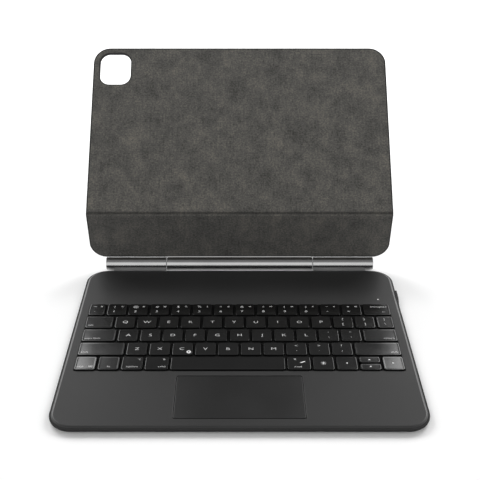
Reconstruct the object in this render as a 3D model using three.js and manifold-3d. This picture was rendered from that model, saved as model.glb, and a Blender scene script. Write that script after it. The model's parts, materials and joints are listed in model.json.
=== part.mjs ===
// Tablet keyboard case: a slim keyboard base, a three-knuckle hinge barrel behind it,
// and a two-panel lid that carries the tablet clear of the keys.
// Millimetres. +X right, +Y to the rear, +Z up. The origin is the centre of the base's underside.
import * as THREE from "three";
import { mergeVertices } from "three/addons/utils/BufferGeometryUtils.js";
import Module from "manifold-3d";

const wasm = await Module();
wasm.setup();

// ---- Driving dimensions: base ----
const BASE_WIDTH = 283.4;
const BASE_DEPTH = 215.8;
const BASE_CORNER = 18.5;
const COVER_THICKNESS = 1.3;
const COVER_EDGE = {
  undercut: 2.7, // how far the underside is drawn in
  sideLow: 2.5, // where the upright side starts
  ledge: 3.05, // what the deck shell stands on
  rimTop: 4.4,
  rim: 1.2, // width of the rim that shows round the deck
  softening: 0.3, // bevel of the rim's outer edge
  wall: 3.7, // width of rim and ledge together
};
const FILM = 0.1; // adhesive film between two bonded pieces
const DECK_INSET = COVER_EDGE.rim + FILM;
const DECK_TOP = 5.6;
const DECK_PLATE = 1.2;
const DECK_WALL = 2.0;
// The deck's broad bevel, from its upright edge to its flat top.
const DECK_BEVEL = [
  { z: 4.5, inset: 0 }, { z: 4.65, inset: 0.15 }, { z: 5.5, inset: 1.5 }, { z: DECK_TOP, inset: 1.8 },
];
const EDGE_GAP = 0.4; // gap round a key or the trackpad

// ---- Driving dimensions: keys ----
const KEY_PITCH = 18.65;
const KEY_SPACING = 1.85; // from one cap to the next
const KEY_CORNER = 2.0;
const KEY_BOTTOM = 4.0;
const KEY_TOP = 6.6;
const KEY_ROW_UNITS = 14.2; // length of every row in key pitches
const FIRST_ROW_Y = 41.0;
const CARRIER_THICKNESS = 0.4;
const CARRIER_DEPTH = 6;
const ARROW_GAP = 1.2;
const FRAME_MARGIN = 1.5; // key frame beyond the outermost caps

// Each row: the wide first key, two groups of letter keys on shared carriers, the wide last key.
const KEY_ROWS = [
  { first: ["key_grave", 0.85], groups: [["keys_number_left", 6], ["keys_number_right", 6]],
    last: ["key_backspace", 1.35] },
  { first: ["key_tab", 1.35], groups: [["keys_upper_left", 6], ["keys_upper_right", 6]],
    last: ["key_backslash", 0.85] },
  { first: ["key_caps_lock", 1.6], groups: [["keys_home_left", 6], ["keys_home_right", 5]],
    last: ["key_return", 1.6] },
  { first: ["key_shift_left", 2.1], groups: [["keys_lower_left", 5], ["keys_lower_right", 5]],
    last: ["key_shift_right", 2.1] },
];
const BOTTOM_ROW = [
  ["key_control", 1], ["key_function", 1], ["key_option", 1], ["key_command_left", 1.1],
  ["key_space", 5], ["key_command_right", 1.1], ["key_brightness", 1], ["key_arrow_left", 1],
  ["arrow_up_down", 1], ["key_arrow_right", 1],
];

// ---- Driving dimensions: trackpad and inner pieces ----
const TRACKPAD = { width: 98.2, depth: 48.5, rear: -48.5, corner: 1.5, low: 4.5, high: 5.5 };
const KEY_PLATE = { low: 1.4, high: 1.7 };
const DOME_SHEET = { low: 1.75, high: 1.95, domeTop: 2.65, domeRadius: 3.5, taper: 0.7, sides: 4 };
const LIGHT_GUIDE = { low: 2.0, high: 2.2, domeClearance: 1.2 };
const STATUS_LIGHT = { x: 123.7, y: 58.1, radius: 0.8, low: 3.0 };
const STATUS_HOLE_RADIUS = 0.95;
const BATTERY = { width: 68, depth: 44, corner: 2, x: 92, y: -73, top: 4.0 };
const BOARD = { left: -95, right: 128, front: 62, rear: 88, top: 2.4 };
const BOARD_CHIPS = [
  { left: -60, right: -40, front: 68, rear: 80, top: 3.4 },
  { left: 20, right: 32, front: 68, rear: 80, top: 3.2 },
  { left: 60, right: 96, front: 66, rear: 72, top: 3.0 },
];
const BRACKET = {
  sideMargin: 2, endMargin: 1.5, corner: 2, top: 2.8, windowX: 24, windowWidth: 32, windowDepth: 28,
};
const CLICK_SWITCH = { fromFront: 6, width: 6, top: 3.5, buttonRadius: 1.2, buttonTop: 3.8 };
const SINK = 0.1; // how far one block is sunk into another that it is joined to

// ---- Driving dimensions: side swelling with the port and the slider ----
const SWELLING = { rear: 74, full: 64, front: 48.5, reach: 1.2, corner: 0.5, low: 1.6, high: 4.9 };
const PORT = {
  y: 68.6, z: 2.95, width: 8.9, height: 2.6, wall: 0.3, depth: 7, setIn: 0.6, back: 1,
  tongueWidth: 6.6, tongueThickness: 0.7, tongueSetIn: 1.5, clearance: 0.1,
};
const SLIDER = {
  y: 55.5, z: 3.4, length: 3.4, height: 1.6, travel: 3, setIn: 0.3, clearance: 0.2, endGap: 0.4,
  footDepth: 2.5, footGap: 0.7, footOverhang: 1, footLow: 2.2,
};

// ---- Driving dimensions: hinge ----
const HINGE_Y = 116.5;
const HINGE_Z = 7.15;
const BARREL_RADIUS = 6;
const BARREL_END = 126.5;
const KNUCKLE_JOINT = 69.2; // where the middle knuckle meets an end knuckle
const KNUCKLE_GAP = 0.4;
const BARREL_CHAMFER = 0.3;
const BARREL_SIDES = 36;
const SHAFT = { radius: 2.0, boreRadius: 2.35, inner: 45, outer: 98, sides: 20 };
const BASE_LEAF = { inner: 70, outer: 119.3, front: 92, rear: 116, low: 2.7, high: 3.7 };
const LEAF_CLEARANCE = 0.15;

// ---- Driving dimensions: lid ----
const LID_WIDTH = BASE_WIDTH;
const LID_CORNER = 16;
const STRIP_LEAN = 7.5; // degrees forward of upright
const PANEL_LEAN = 46.4; // degrees behind upright
const FACE_BEHIND_AXIS = 5.97; // the lining's face, square to the strip
const STRIP_LOW = 3.2; // from the hinge axis along the strip
const STRIP_HEIGHT = 50.1;
const PANEL_HEIGHT = 170.4;
const LINING = { front: 0, back: 0.8 };
const STIFFENER = { front: 0.9, back: 2.5 };
const COVER = { front: 2.6, back: 3.5 };
const LID_RIM = 1.0; // the cover's edge round the lining
const LAYER_GAP = 0.3;
const FOLD_MITRE = Math.tan(THREE.MathUtils.degToRad(37.5)); // setback for each mm of depth
const WINDOW = { width: 29.7, height: 33, corner: 9.5, sideMargin: 6.5, topMargin: 5.8, hidden: 1.5 };
const MAGNET = { width: 10, low: 40, high: 130, centre: 65 };
const LID_LEAF = {
  halfWidth: 68.6, lipFront: -0.75, lipBack: -0.3, lipTop: 5.4,
  low: 2.05, high: 2.85, root: -2.7, tongueFront: 1.1, tongueBack: 2.3, tongueTop: 14,
};

// Straight steps round a quarter-circle corner, by its radius.
const CORNER_STEPS = [{ over: 5, steps: 8 }, { over: 1.5, steps: 2 }, { over: 0, steps: 1 }];
const CUT_OUT_CORNER = 1.2;

// ---- Solid helpers ----
function toSolid(geometry) {
  const bare = geometry.clone();
  bare.deleteAttribute("normal");
  bare.deleteAttribute("uv");
  const merged = mergeVertices(bare, 1e-4);
  return new wasm.Manifold(new wasm.Mesh({
    numProp: 3,
    vertProperties: merged.attributes.position.array,
    triVerts: new Uint32Array(merged.index.array),
  }));
}

function toGeometry(solid) {
  const mesh = solid.getMesh();
  const geometry = new THREE.BufferGeometry();
  geometry.setAttribute("position", new THREE.BufferAttribute(mesh.vertProperties, 3));
  geometry.setIndex(new THREE.BufferAttribute(mesh.triVerts, 1));
  geometry.computeVertexNormals();
  return geometry;
}

function cut(geometry, ...tools) {
  return toGeometry(tools.reduce((left, tool) => left.subtract(toSolid(tool)), toSolid(geometry)));
}

function join(geometry, ...others) {
  return toGeometry(others.reduce((sum, other) => sum.add(toSolid(other)), toSolid(geometry)));
}

// ---- Shape helpers ----
// A rectangle's outline, counter-clockwise, with its own radius for the low and the high corners.
function outline(x0, x1, y0, y1, lowRadius, highRadius = lowRadius) {
  const corners = [
    { x: x0, y: y0, radius: lowRadius, inX: 1, inY: 1, start: Math.PI },
    { x: x1, y: y0, radius: lowRadius, inX: -1, inY: 1, start: 1.5 * Math.PI },
    { x: x1, y: y1, radius: highRadius, inX: -1, inY: -1, start: 0 },
    { x: x0, y: y1, radius: highRadius, inX: 1, inY: -1, start: 0.5 * Math.PI },
  ];
  const points = [];
  for (const { x, y, radius, inX, inY, start } of corners) {
    const steps = CORNER_STEPS.find(({ over }) => radius > over)?.steps ?? 0;
    for (let step = 0; step <= steps; step++) {
      const angle = start + (step / Math.max(steps, 1)) * 0.5 * Math.PI;
      points.push(new THREE.Vector2(
        x + radius * (inX + Math.cos(angle)),
        y + radius * (inY + Math.sin(angle)),
      ));
    }
  }
  return points;
}

function centredOutline(x, y, width, height, radius) {
  return outline(x - width / 2, x + width / 2, y - height / 2, y + height / 2, radius);
}

function circle(x, y, radius, sides) {
  return Array.from({ length: sides }, (_, i) => {
    const angle = (i / sides) * 2 * Math.PI;
    return new THREE.Vector2(x + radius * Math.cos(angle), y + radius * Math.sin(angle));
  });
}

// A flat plate between two heights, with holes.
function plate(points, low, high, holes = []) {
  const shape = new THREE.Shape(points);
  shape.holes = holes.map((hole) => new THREE.Path(hole));
  return new THREE.ExtrudeGeometry(shape, { depth: high - low, bevelEnabled: false })
    .translate(0, 0, low);
}

// A lid layer: its outline lies in X and Z, its thickness runs back along Y.
function layer(points, front, back, holes = []) {
  return plate(points, -back, -front, holes).rotateX(Math.PI / 2);
}

// A bar along X whose section is drawn in Y and Z.
function bar(section, x0, x1) {
  const points = section.map(([y, z]) => new THREE.Vector2(y, z));
  return plate(points, x0, x1)
    .applyMatrix4(new THREE.Matrix4().makeBasis(
      new THREE.Vector3(0, 1, 0), new THREE.Vector3(0, 0, 1), new THREE.Vector3(1, 0, 0),
    ));
}

function block(x0, x1, y0, y1, z0, z1) {
  return new THREE.BoxGeometry(x1 - x0, y1 - y0, z1 - z0)
    .translate((x0 + x1) / 2, (y0 + y1) / 2, (z0 + z1) / 2);
}

// A closed solid of one convex outline drawn in by a different amount at each height.
function stackedPlate(width, depth, corner, levels) {
  const rings = levels.map(({ z, inset }) =>
    centredOutline(0, 0, width - 2 * inset, depth - 2 * inset, Math.max(corner - inset, 0.3))
      .map((p) => [p.x, p.y, z]));
  const count = rings[0].length;
  const positions = [...rings.flat(), [0, 0, levels[0].z], [0, 0, levels.at(-1).z]];
  const bottomCentre = positions.length - 2;
  const topCentre = positions.length - 1;
  const lastRing = (rings.length - 1) * count;
  const faces = [];
  for (let i = 0; i < count; i++) {
    const next = (i + 1) % count;
    faces.push([bottomCentre, next, i], [topCentre, lastRing + i, lastRing + next]);
    for (let ring = 0; ring < lastRing; ring += count) {
      faces.push([ring + i, ring + next, ring + count + next]);
      faces.push([ring + i, ring + count + next, ring + count + i]);
    }
  }
  const geometry = new THREE.BufferGeometry();
  geometry.setAttribute("position", new THREE.Float32BufferAttribute(positions.flat(), 3));
  geometry.setIndex(faces.flat());
  geometry.computeVertexNormals();
  return geometry;
}

// A turned piece along X: the profile gives [x, radius] from one end of the axis to the other.
function turned(profile, sides) {
  const points = profile.map(([x, radius]) => new THREE.Vector2(radius, x));
  return new THREE.LatheGeometry(points, sides).rotateZ(-Math.PI / 2);
}

// ---- The model ----
const model = new THREE.Group();

function addPart(group, name, geometry, color, roughness, metalness = 0) {
  const material = new THREE.MeshStandardMaterial({ color, roughness, metalness });
  const mesh = new THREE.Mesh(geometry, material);
  mesh.name = name;
  group.add(mesh);
}

const SOFT_BLACK = 0x35363a;
const DECK_GREY = 0x45464a;
const KEY_BLACK = 0x222326;
const SUEDE = 0x54524e;
const HINGE_STEEL = 0x9a9b9e;
const LEAF_ALUMINIUM = 0xa8a9ab;

// ---- Key layout ----
function capOf(x, units, y, depth = KEY_PITCH - KEY_SPACING) {
  return { x: x + (units * KEY_PITCH) / 2, y, width: units * KEY_PITCH - KEY_SPACING, depth };
}

// Every node of keys: its name and the caps it holds.
function keyNodes() {
  const nodes = [];
  const rowStart = -(KEY_ROW_UNITS * KEY_PITCH) / 2;
  KEY_ROWS.forEach(({ first, groups, last }, row) => {
    const y = FIRST_ROW_Y - row * KEY_PITCH;
    let x = rowStart;
    nodes.push({ name: first[0], caps: [capOf(x, first[1], y)] });
    x += first[1] * KEY_PITCH;
    for (const [name, count] of groups) {
      const caps = Array.from({ length: count }, (_, i) => capOf(x + i * KEY_PITCH, 1, y));
      nodes.push({ name, caps });
      x += count * KEY_PITCH;
    }
    nodes.push({ name: last[0], caps: [capOf(x, last[1], y)] });
  });
  const y = FIRST_ROW_Y - KEY_ROWS.length * KEY_PITCH;
  let x = rowStart;
  for (const [name, units] of BOTTOM_ROW) {
    if (name === "arrow_up_down") {
      const half = (KEY_PITCH - KEY_SPACING - ARROW_GAP) / 2;
      const offset = (half + ARROW_GAP) / 2;
      nodes.push({ name: "key_arrow_up", caps: [capOf(x, units, y + offset, half)] });
      nodes.push({ name: "key_arrow_down", caps: [capOf(x, units, y - offset, half)] });
    } else {
      nodes.push({ name, caps: [capOf(x, units, y)] });
    }
    x += units * KEY_PITCH;
  }
  return nodes;
}

// The two half-height arrow caps share one cut-out; every other cap has its own.
function keyCutOuts(nodes) {
  const full = KEY_PITCH - KEY_SPACING;
  return nodes
    .filter(({ name }) => name !== "key_arrow_down")
    .flatMap(({ caps }) => caps)
    .map((cap) => ({ ...cap, y: cap.depth < full ? cap.y - (full - cap.depth) / 2 : cap.y, depth: full }));
}

const keys = keyNodes();
const cutOuts = keyCutOuts(keys);
const keyFieldWidth = KEY_ROW_UNITS * KEY_PITCH - KEY_SPACING;
const keyFieldDepth = (KEY_ROWS.length + 1) * KEY_PITCH - KEY_SPACING;
const keyFieldY = FIRST_ROW_Y - (KEY_ROWS.length / 2) * KEY_PITCH;

function keyField(margin, corner) {
  return centredOutline(0, keyFieldY, keyFieldWidth + 2 * margin, keyFieldDepth + 2 * margin, corner);
}

// ---- Base ----
const sideX = BASE_WIDTH / 2;
const deckSideX = sideX - DECK_INSET;

// Plan of the swelling at the right rear: abrupt at its rear, drawn out towards the front.
function swellingPlan(insideX, reach) {
  const { rear, full, front, corner } = SWELLING;
  return [
    new THREE.Vector2(insideX, front), new THREE.Vector2(sideX - DECK_INSET / 2, front),
    new THREE.Vector2(sideX + reach, full), new THREE.Vector2(sideX + reach, rear - corner),
    new THREE.Vector2(sideX + reach - corner, rear), new THREE.Vector2(insideX, rear),
  ];
}

// A pocket right through the wall where the port and the slider are.
function sideMouth(y, length, low, high) {
  const inner = deckSideX - 3 * DECK_WALL;
  return block(inner, sideX + SWELLING.reach + 1, y - length / 2, y + length / 2, low, high);
}

const portMouth = sideMouth(
  PORT.y, PORT.width + 2 * PORT.clearance,
  PORT.z - PORT.height / 2 - PORT.clearance, PORT.z + PORT.height / 2 + PORT.clearance,
);
const sliderSlot = sideMouth(
  SLIDER.y, SLIDER.length + SLIDER.travel + 2 * SLIDER.endGap,
  SLIDER.z - SLIDER.height / 2 - SLIDER.clearance, SLIDER.z + SLIDER.height / 2 + SLIDER.clearance,
);
const leafSlots = [-1, 1].map((side) => {
  const x = [side * (BASE_LEAF.inner - LEAF_CLEARANCE), side * (BASE_LEAF.outer + LEAF_CLEARANCE)];
  return block(
    Math.min(...x), Math.max(...x), BASE_LEAF.front, BASE_DEPTH / 2 + 1,
    BASE_LEAF.low - LEAF_CLEARANCE, BASE_LEAF.high + LEAF_CLEARANCE,
  );
});

// A straight-sided space in the middle of the base, drawn in from its outline.
function baseSpace(inset, low, high) {
  return stackedPlate(
    BASE_WIDTH - 2 * inset, BASE_DEPTH - 2 * inset, BASE_CORNER - inset,
    [{ z: low, inset: 0 }, { z: high, inset: 0 }],
  );
}

// The bottom cover is a shallow tray: its ledge carries the deck shell and its rim stands round it.
const bottomCover = cut(
  join(
    stackedPlate(BASE_WIDTH, BASE_DEPTH, BASE_CORNER, [
      { z: 0, inset: COVER_EDGE.undercut }, { z: COVER_EDGE.sideLow, inset: 0 },
      { z: COVER_EDGE.rimTop - COVER_EDGE.softening, inset: 0 },
      { z: COVER_EDGE.rimTop, inset: COVER_EDGE.softening },
    ]),
    plate(swellingPlan(sideX - COVER_EDGE.wall, SWELLING.reach), SWELLING.low, SWELLING.high),
  ),
  baseSpace(COVER_EDGE.wall, COVER_THICKNESS, DECK_TOP),
  baseSpace(COVER_EDGE.rim, COVER_EDGE.ledge, DECK_TOP),
  portMouth, sliderSlot, ...leafSlots,
);
addPart(model, "bottom_cover", bottomCover, SOFT_BLACK, 0.75);

const trackpadY = TRACKPAD.rear - TRACKPAD.depth / 2;
const deckWidth = BASE_WIDTH - 2 * DECK_INSET;
const deckDepth = BASE_DEPTH - 2 * DECK_INSET;
const deckLow = COVER_EDGE.ledge + FILM;
const underDeck = DECK_TOP - DECK_PLATE;
const deckShell = cut(
  stackedPlate(deckWidth, deckDepth, BASE_CORNER - DECK_INSET, [{ z: deckLow, inset: 0 }, ...DECK_BEVEL]),
  baseSpace(DECK_INSET + DECK_WALL, 0, underDeck),
  plate(keyField(FRAME_MARGIN + FILM, KEY_CORNER), 0, DECK_TOP + 1),
  plate(
    centredOutline(
      0, trackpadY, TRACKPAD.width + 2 * EDGE_GAP, TRACKPAD.depth + 2 * EDGE_GAP,
      TRACKPAD.corner + EDGE_GAP,
    ),
    0, DECK_TOP + 1,
  ),
  plate(circle(STATUS_LIGHT.x, STATUS_LIGHT.y, STATUS_HOLE_RADIUS, 10), 0, DECK_TOP + 1),
  portMouth, sliderSlot, ...leafSlots,
);
addPart(model, "deck_shell", deckShell, DECK_GREY, 0.62);

const frameHoles = cutOuts.map((cap) => centredOutline(
  cap.x, cap.y, cap.width + 2 * EDGE_GAP, cap.depth + 2 * EDGE_GAP, CUT_OUT_CORNER,
));
addPart(
  model, "key_frame",
  plate(keyField(FRAME_MARGIN, KEY_CORNER), DECK_TOP - 1, DECK_TOP, frameHoles), DECK_GREY, 0.62,
);
addPart(
  model, "key_plate", plate(keyField(FRAME_MARGIN, KEY_CORNER), KEY_PLATE.low, KEY_PLATE.high),
  0x8d8f92, 0.4, 0.9,
);

// One rubber dome under each cap, drawn pressed down and with a few flat sides.
function domeRadius({ depth }) {
  return Math.min(DOME_SHEET.domeRadius, depth / 2 - 1);
}

function dome(cap) {
  const radius = domeRadius(cap);
  const height = DOME_SHEET.domeTop - DOME_SHEET.low;
  return new THREE.CylinderGeometry(radius * DOME_SHEET.taper, radius, height, DOME_SHEET.sides)
    .rotateX(Math.PI / 2)
    .translate(cap.x, cap.y, (DOME_SHEET.domeTop + DOME_SHEET.low) / 2);
}

const allCaps = keys.flatMap(({ caps }) => caps);
const domeSheet = join(
  plate(keyField(FRAME_MARGIN, KEY_CORNER), DOME_SHEET.low, DOME_SHEET.high), ...allCaps.map(dome),
);
addPart(model, "dome_sheet", domeSheet, 0x2b2b2d, 0.8);
addPart(
  model, "light_guide",
  plate(
    keyField(FRAME_MARGIN, KEY_CORNER), LIGHT_GUIDE.low, LIGHT_GUIDE.high,
    allCaps.map((cap) => circle(cap.x, cap.y, domeRadius(cap) + LIGHT_GUIDE.domeClearance, DOME_SHEET.sides)),
  ),
  0xe8e8e4, 0.3,
);

const innerLow = COVER_THICKNESS + 2 * FILM;
for (const [name, side] of [["battery_left", -1], ["battery_right", 1]]) {
  const cell = stackedPlate(BATTERY.width, BATTERY.depth, BATTERY.corner, [
    { z: innerLow, inset: 0 }, { z: BATTERY.top, inset: 0 },
  ]).translate(side * BATTERY.x, BATTERY.y, 0);
  addPart(model, name, cell, 0x6e7073, 0.5, 0.3);
}
const mainBoard = join(
  block(BOARD.left, BOARD.right, BOARD.front, BOARD.rear, innerLow, BOARD.top),
  ...BOARD_CHIPS.map(({ left, right, front, rear, top }) =>
    block(left, right, front, rear, BOARD.top - SINK, top)),
);
addPart(model, "main_board", mainBoard, 0x2f5a43, 0.6);
addPart(
  model, "status_light",
  plate(circle(STATUS_LIGHT.x, STATUS_LIGHT.y, STATUS_LIGHT.radius, 10), STATUS_LIGHT.low, DECK_TOP),
  0xf2f2f0, 0.3,
);

// The charging receptacle: a metal sleeve closed at its inner end, with its tongue.
const portFace = sideX + SWELLING.reach - PORT.setIn;
function portSection(grow) {
  const halfY = PORT.width / 2 + grow;
  const halfZ = PORT.height / 2 + grow;
  const step = halfZ * 0.6;
  return [
    [PORT.y - halfY, PORT.z - halfZ + step], [PORT.y - halfY + step, PORT.z - halfZ],
    [PORT.y + halfY - step, PORT.z - halfZ], [PORT.y + halfY, PORT.z - halfZ + step],
    [PORT.y + halfY, PORT.z + halfZ - step], [PORT.y + halfY - step, PORT.z + halfZ],
    [PORT.y - halfY + step, PORT.z + halfZ], [PORT.y - halfY, PORT.z + halfZ - step],
  ];
}
const receptacle = join(
  cut(
    bar(portSection(0), portFace - PORT.depth, portFace),
    bar(portSection(-PORT.wall), portFace - PORT.depth + PORT.back, portFace + 1),
  ),
  block(
    portFace - PORT.depth + PORT.back / 2, portFace - PORT.tongueSetIn,
    PORT.y - PORT.tongueWidth / 2, PORT.y + PORT.tongueWidth / 2,
    PORT.z - PORT.tongueThickness / 2, PORT.z + PORT.tongueThickness / 2,
  ),
);
addPart(model, "charging_receptacle", receptacle, 0xb4b6b8, 0.3, 0.9);

// The slider's thumb piece, nearly level with the side, on a longer foot behind the wall.
const sliderFace = sideX - SLIDER.setIn;
const sliderCentre = SLIDER.y - SLIDER.travel / 2;
const sliderHalf = SLIDER.length / 2;
const footFace = deckSideX - DECK_WALL - SLIDER.footGap;
const sliderHigh = SLIDER.z + SLIDER.height / 2;
const powerSlider = join(
  block(
    footFace - SINK, sliderFace, sliderCentre - sliderHalf, sliderCentre + sliderHalf,
    SLIDER.z - SLIDER.height / 2, sliderHigh,
  ),
  block(
    footFace - SLIDER.footDepth, footFace, sliderCentre - sliderHalf - SLIDER.footOverhang,
    sliderCentre + sliderHalf + SLIDER.footOverhang, SLIDER.footLow, sliderHigh,
  ),
);
addPart(model, "power_slider", powerSlider, 0x1c1c1e, 0.5);

// ---- Trackpad ----
addPart(
  model, "trackpad_plate",
  stackedPlate(TRACKPAD.width, TRACKPAD.depth, TRACKPAD.corner, [
    { z: TRACKPAD.low, inset: 0 }, { z: TRACKPAD.high - 0.2, inset: 0 }, { z: TRACKPAD.high, inset: 0.2 },
  ]).translate(0, trackpadY, 0),
  0x303134, 0.25,
);
const bracketWindows = [-1, 1].map((side) => centredOutline(
  side * BRACKET.windowX, trackpadY, BRACKET.windowWidth, BRACKET.windowDepth, BRACKET.corner,
));
addPart(
  model, "trackpad_bracket",
  plate(
    centredOutline(
      0, trackpadY, TRACKPAD.width - 2 * BRACKET.sideMargin, TRACKPAD.depth - 2 * BRACKET.endMargin,
      BRACKET.corner,
    ),
    innerLow, BRACKET.top, bracketWindows,
  ),
  0x9c9ea1, 0.4, 0.9,
);
const switchY = TRACKPAD.rear - TRACKPAD.depth + CLICK_SWITCH.fromFront;
const switchHalf = CLICK_SWITCH.width / 2;
addPart(
  model, "trackpad_click_switch",
  join(
    block(
      -switchHalf, switchHalf, switchY - switchHalf, switchY + switchHalf, BRACKET.top, CLICK_SWITCH.top,
    ),
    plate(
      circle(0, switchY, CLICK_SWITCH.buttonRadius, 8), CLICK_SWITCH.top - SINK, CLICK_SWITCH.buttonTop,
    ),
  ),
  0xc0c0c0, 0.4, 0.6,
);

// ---- Keys ----
function keyGeometry(caps) {
  const solids = caps.map(({ x, y, width, depth }) =>
    stackedPlate(width, depth, KEY_CORNER, [
      { z: KEY_BOTTOM, inset: 0 }, { z: KEY_TOP, inset: 0.2 },
    ]).translate(x, y, 0));
  if (caps.length === 1) return solids[0];
  const y = caps[0].y;
  const carrier = block(
    caps[0].x, caps.at(-1).x, y - CARRIER_DEPTH / 2, y + CARRIER_DEPTH / 2,
    KEY_BOTTOM, KEY_BOTTOM + CARRIER_THICKNESS,
  );
  return join(carrier, ...solids);
}
for (const { name, caps } of keys) addPart(model, name, keyGeometry(caps), KEY_BLACK, 0.45);

// ---- Hinge: base side ----
const sides = [["left", -1], ["right", 1]];
for (const [label, side] of sides) {
  const inner = KNUCKLE_JOINT + KNUCKLE_GAP / 2;
  const knuckle = turned([
    [SHAFT.outer + 1, 0], [SHAFT.outer + 1, SHAFT.boreRadius], [inner, SHAFT.boreRadius],
    [inner, BARREL_RADIUS - BARREL_CHAMFER], [inner + BARREL_CHAMFER, BARREL_RADIUS],
    [BARREL_END - BARREL_CHAMFER, BARREL_RADIUS], [BARREL_END, BARREL_RADIUS - BARREL_CHAMFER],
    [BARREL_END, 0],
  ], BARREL_SIDES);
  if (side < 0) knuckle.rotateZ(Math.PI);
  knuckle.translate(0, HINGE_Y, HINGE_Z);
  const leafX = [side * BASE_LEAF.inner, side * BASE_LEAF.outer];
  const low = Math.min(...leafX);
  const high = Math.max(...leafX);
  const slot = block(
    low - LEAF_CLEARANCE, high + LEAF_CLEARANCE, HINGE_Y - BARREL_RADIUS - 1, BASE_LEAF.rear + LEAF_CLEARANCE,
    0, BASE_LEAF.high + LEAF_CLEARANCE,
  );
  addPart(model, `hinge_knuckle_${label}`, cut(knuckle, slot), HINGE_STEEL, 0.25, 1);
  addPart(
    model, `hinge_leaf_${label}`,
    block(low, high, BASE_LEAF.front, BASE_LEAF.rear, BASE_LEAF.low, BASE_LEAF.high),
    LEAF_ALUMINIUM, 0.35, 0.9,
  );
  const shaft = turned([
    [SHAFT.inner, 0], [SHAFT.inner, SHAFT.radius], [SHAFT.outer, SHAFT.radius], [SHAFT.outer, 0],
  ], SHAFT.sides);
  if (side < 0) shaft.rotateZ(Math.PI);
  addPart(model, `friction_shaft_${label}`, shaft.translate(0, HINGE_Y, HINGE_Z), 0x77797c, 0.3, 1);
}

// ---- Lid, lower strip ----
// In this group the origin is the hinge axis, Z runs up the strip and Y to its back.
const strip = new THREE.Group();
strip.position.set(0, HINGE_Y, HINGE_Z);
strip.rotation.x = THREE.MathUtils.degToRad(STRIP_LEAN);
model.add(strip);

const middleEnd = KNUCKLE_JOINT - KNUCKLE_GAP / 2;
const boreEnd = SHAFT.inner - 1;
const middleKnuckle = turned([
  [-boreEnd, 0], [-boreEnd, SHAFT.boreRadius], [-middleEnd, SHAFT.boreRadius],
  [-middleEnd, BARREL_RADIUS - BARREL_CHAMFER], [-middleEnd + BARREL_CHAMFER, BARREL_RADIUS],
  [middleEnd - BARREL_CHAMFER, BARREL_RADIUS], [middleEnd, BARREL_RADIUS - BARREL_CHAMFER],
  [middleEnd, SHAFT.boreRadius], [boreEnd, SHAFT.boreRadius], [boreEnd, 0],
], BARREL_SIDES);
const leafRoot = FACE_BEHIND_AXIS + LID_LEAF.root;
function leafRoom(front, high) {
  return block(
    -middleEnd - 1, middleEnd + 1, front - LAYER_GAP, BARREL_RADIUS + 1,
    LID_LEAF.low - LAYER_GAP, high + LAYER_GAP,
  );
}
addPart(
  strip, "hinge_knuckle_middle",
  cut(
    middleKnuckle, leafRoom(leafRoot, LID_LEAF.high),
    leafRoom(FACE_BEHIND_AXIS + LID_LEAF.lipFront, LID_LEAF.lipTop),
  ),
  HINGE_STEEL, 0.25, 1,
);

// Everything fixed to the lining's face is placed from that face.
const stripFace = new THREE.Group();
stripFace.position.y = FACE_BEHIND_AXIS;
strip.add(stripFace);

// The leaf grips the strip's lower edge: a lip in front, a web below, a tongue inside.
const leafSection = [
  [LID_LEAF.root, LID_LEAF.low], [LID_LEAF.tongueBack, LID_LEAF.low],
  [LID_LEAF.tongueBack, LID_LEAF.tongueTop], [LID_LEAF.tongueFront, LID_LEAF.tongueTop],
  [LID_LEAF.tongueFront, LID_LEAF.high], [LID_LEAF.lipBack, LID_LEAF.high],
  [LID_LEAF.lipBack, LID_LEAF.lipTop], [LID_LEAF.lipFront, LID_LEAF.lipTop],
  [LID_LEAF.lipFront, LID_LEAF.high], [LID_LEAF.root, LID_LEAF.high],
];
addPart(
  stripFace, "hinge_leaf_middle", bar(leafSection, -LID_LEAF.halfWidth, LID_LEAF.halfWidth),
  LEAF_ALUMINIUM, 0.35, 0.9,
);

const foldHeight = STRIP_LOW + STRIP_HEIGHT;
const lidSideX = LID_WIDTH / 2;

// How far a layer stops short of the fold line, so that the lid can bend back.
function setback(depth) {
  return depth * FOLD_MITRE + LAYER_GAP;
}

function stripOutline(inset, depth, lowExtra = 0) {
  return outline(
    -lidSideX + inset, lidSideX - inset, STRIP_LOW + inset + lowExtra, foldHeight - setback(depth),
    LID_CORNER - inset, 0,
  );
}
const innerInset = LID_RIM + LAYER_GAP;
const leafNotch = block(
  -LID_LEAF.halfWidth - LAYER_GAP, LID_LEAF.halfWidth + LAYER_GAP, -1, COVER.front,
  0, LID_LEAF.tongueTop + LAYER_GAP,
);
addPart(
  stripFace, "lower_lining", layer(stripOutline(LID_RIM + 0.1, LINING.back), LINING.front, LINING.back),
  SUEDE, 0.95,
);
addPart(
  stripFace, "lower_stiffener",
  cut(layer(stripOutline(innerInset, STIFFENER.back), STIFFENER.front, STIFFENER.back), leafNotch),
  0x3a3b3d, 0.7,
);
// The cover's rim is open over the leaf, which passes through it.
const stripCover = cut(
  layer(stripOutline(0, COVER.back), LINING.front, COVER.back),
  layer(
    outline(
      -lidSideX + LID_RIM, lidSideX - LID_RIM, STRIP_LOW + LID_RIM, foldHeight + 1,
      LID_CORNER - LID_RIM, 0,
    ),
    -1, COVER.front,
  ),
  block(
    -LID_LEAF.halfWidth - LAYER_GAP, LID_LEAF.halfWidth + LAYER_GAP, -1, COVER.front,
    0, STRIP_LOW + 2 * LID_RIM,
  ),
);
addPart(stripFace, "lower_cover", stripCover, SOFT_BLACK, 0.75);

// ---- Fold ----
// The upper panel hangs on the fold line, which runs in the lining's face.
const panel = new THREE.Group();
panel.position.z = foldHeight;
panel.rotation.x = THREE.MathUtils.degToRad(-PANEL_LEAN - STRIP_LEAN);
stripFace.add(panel);

// A soft band behind the fold, from the strip's cover to the panel's, drawn in the panel's frame.
const bend = -panel.rotation.x;

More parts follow.
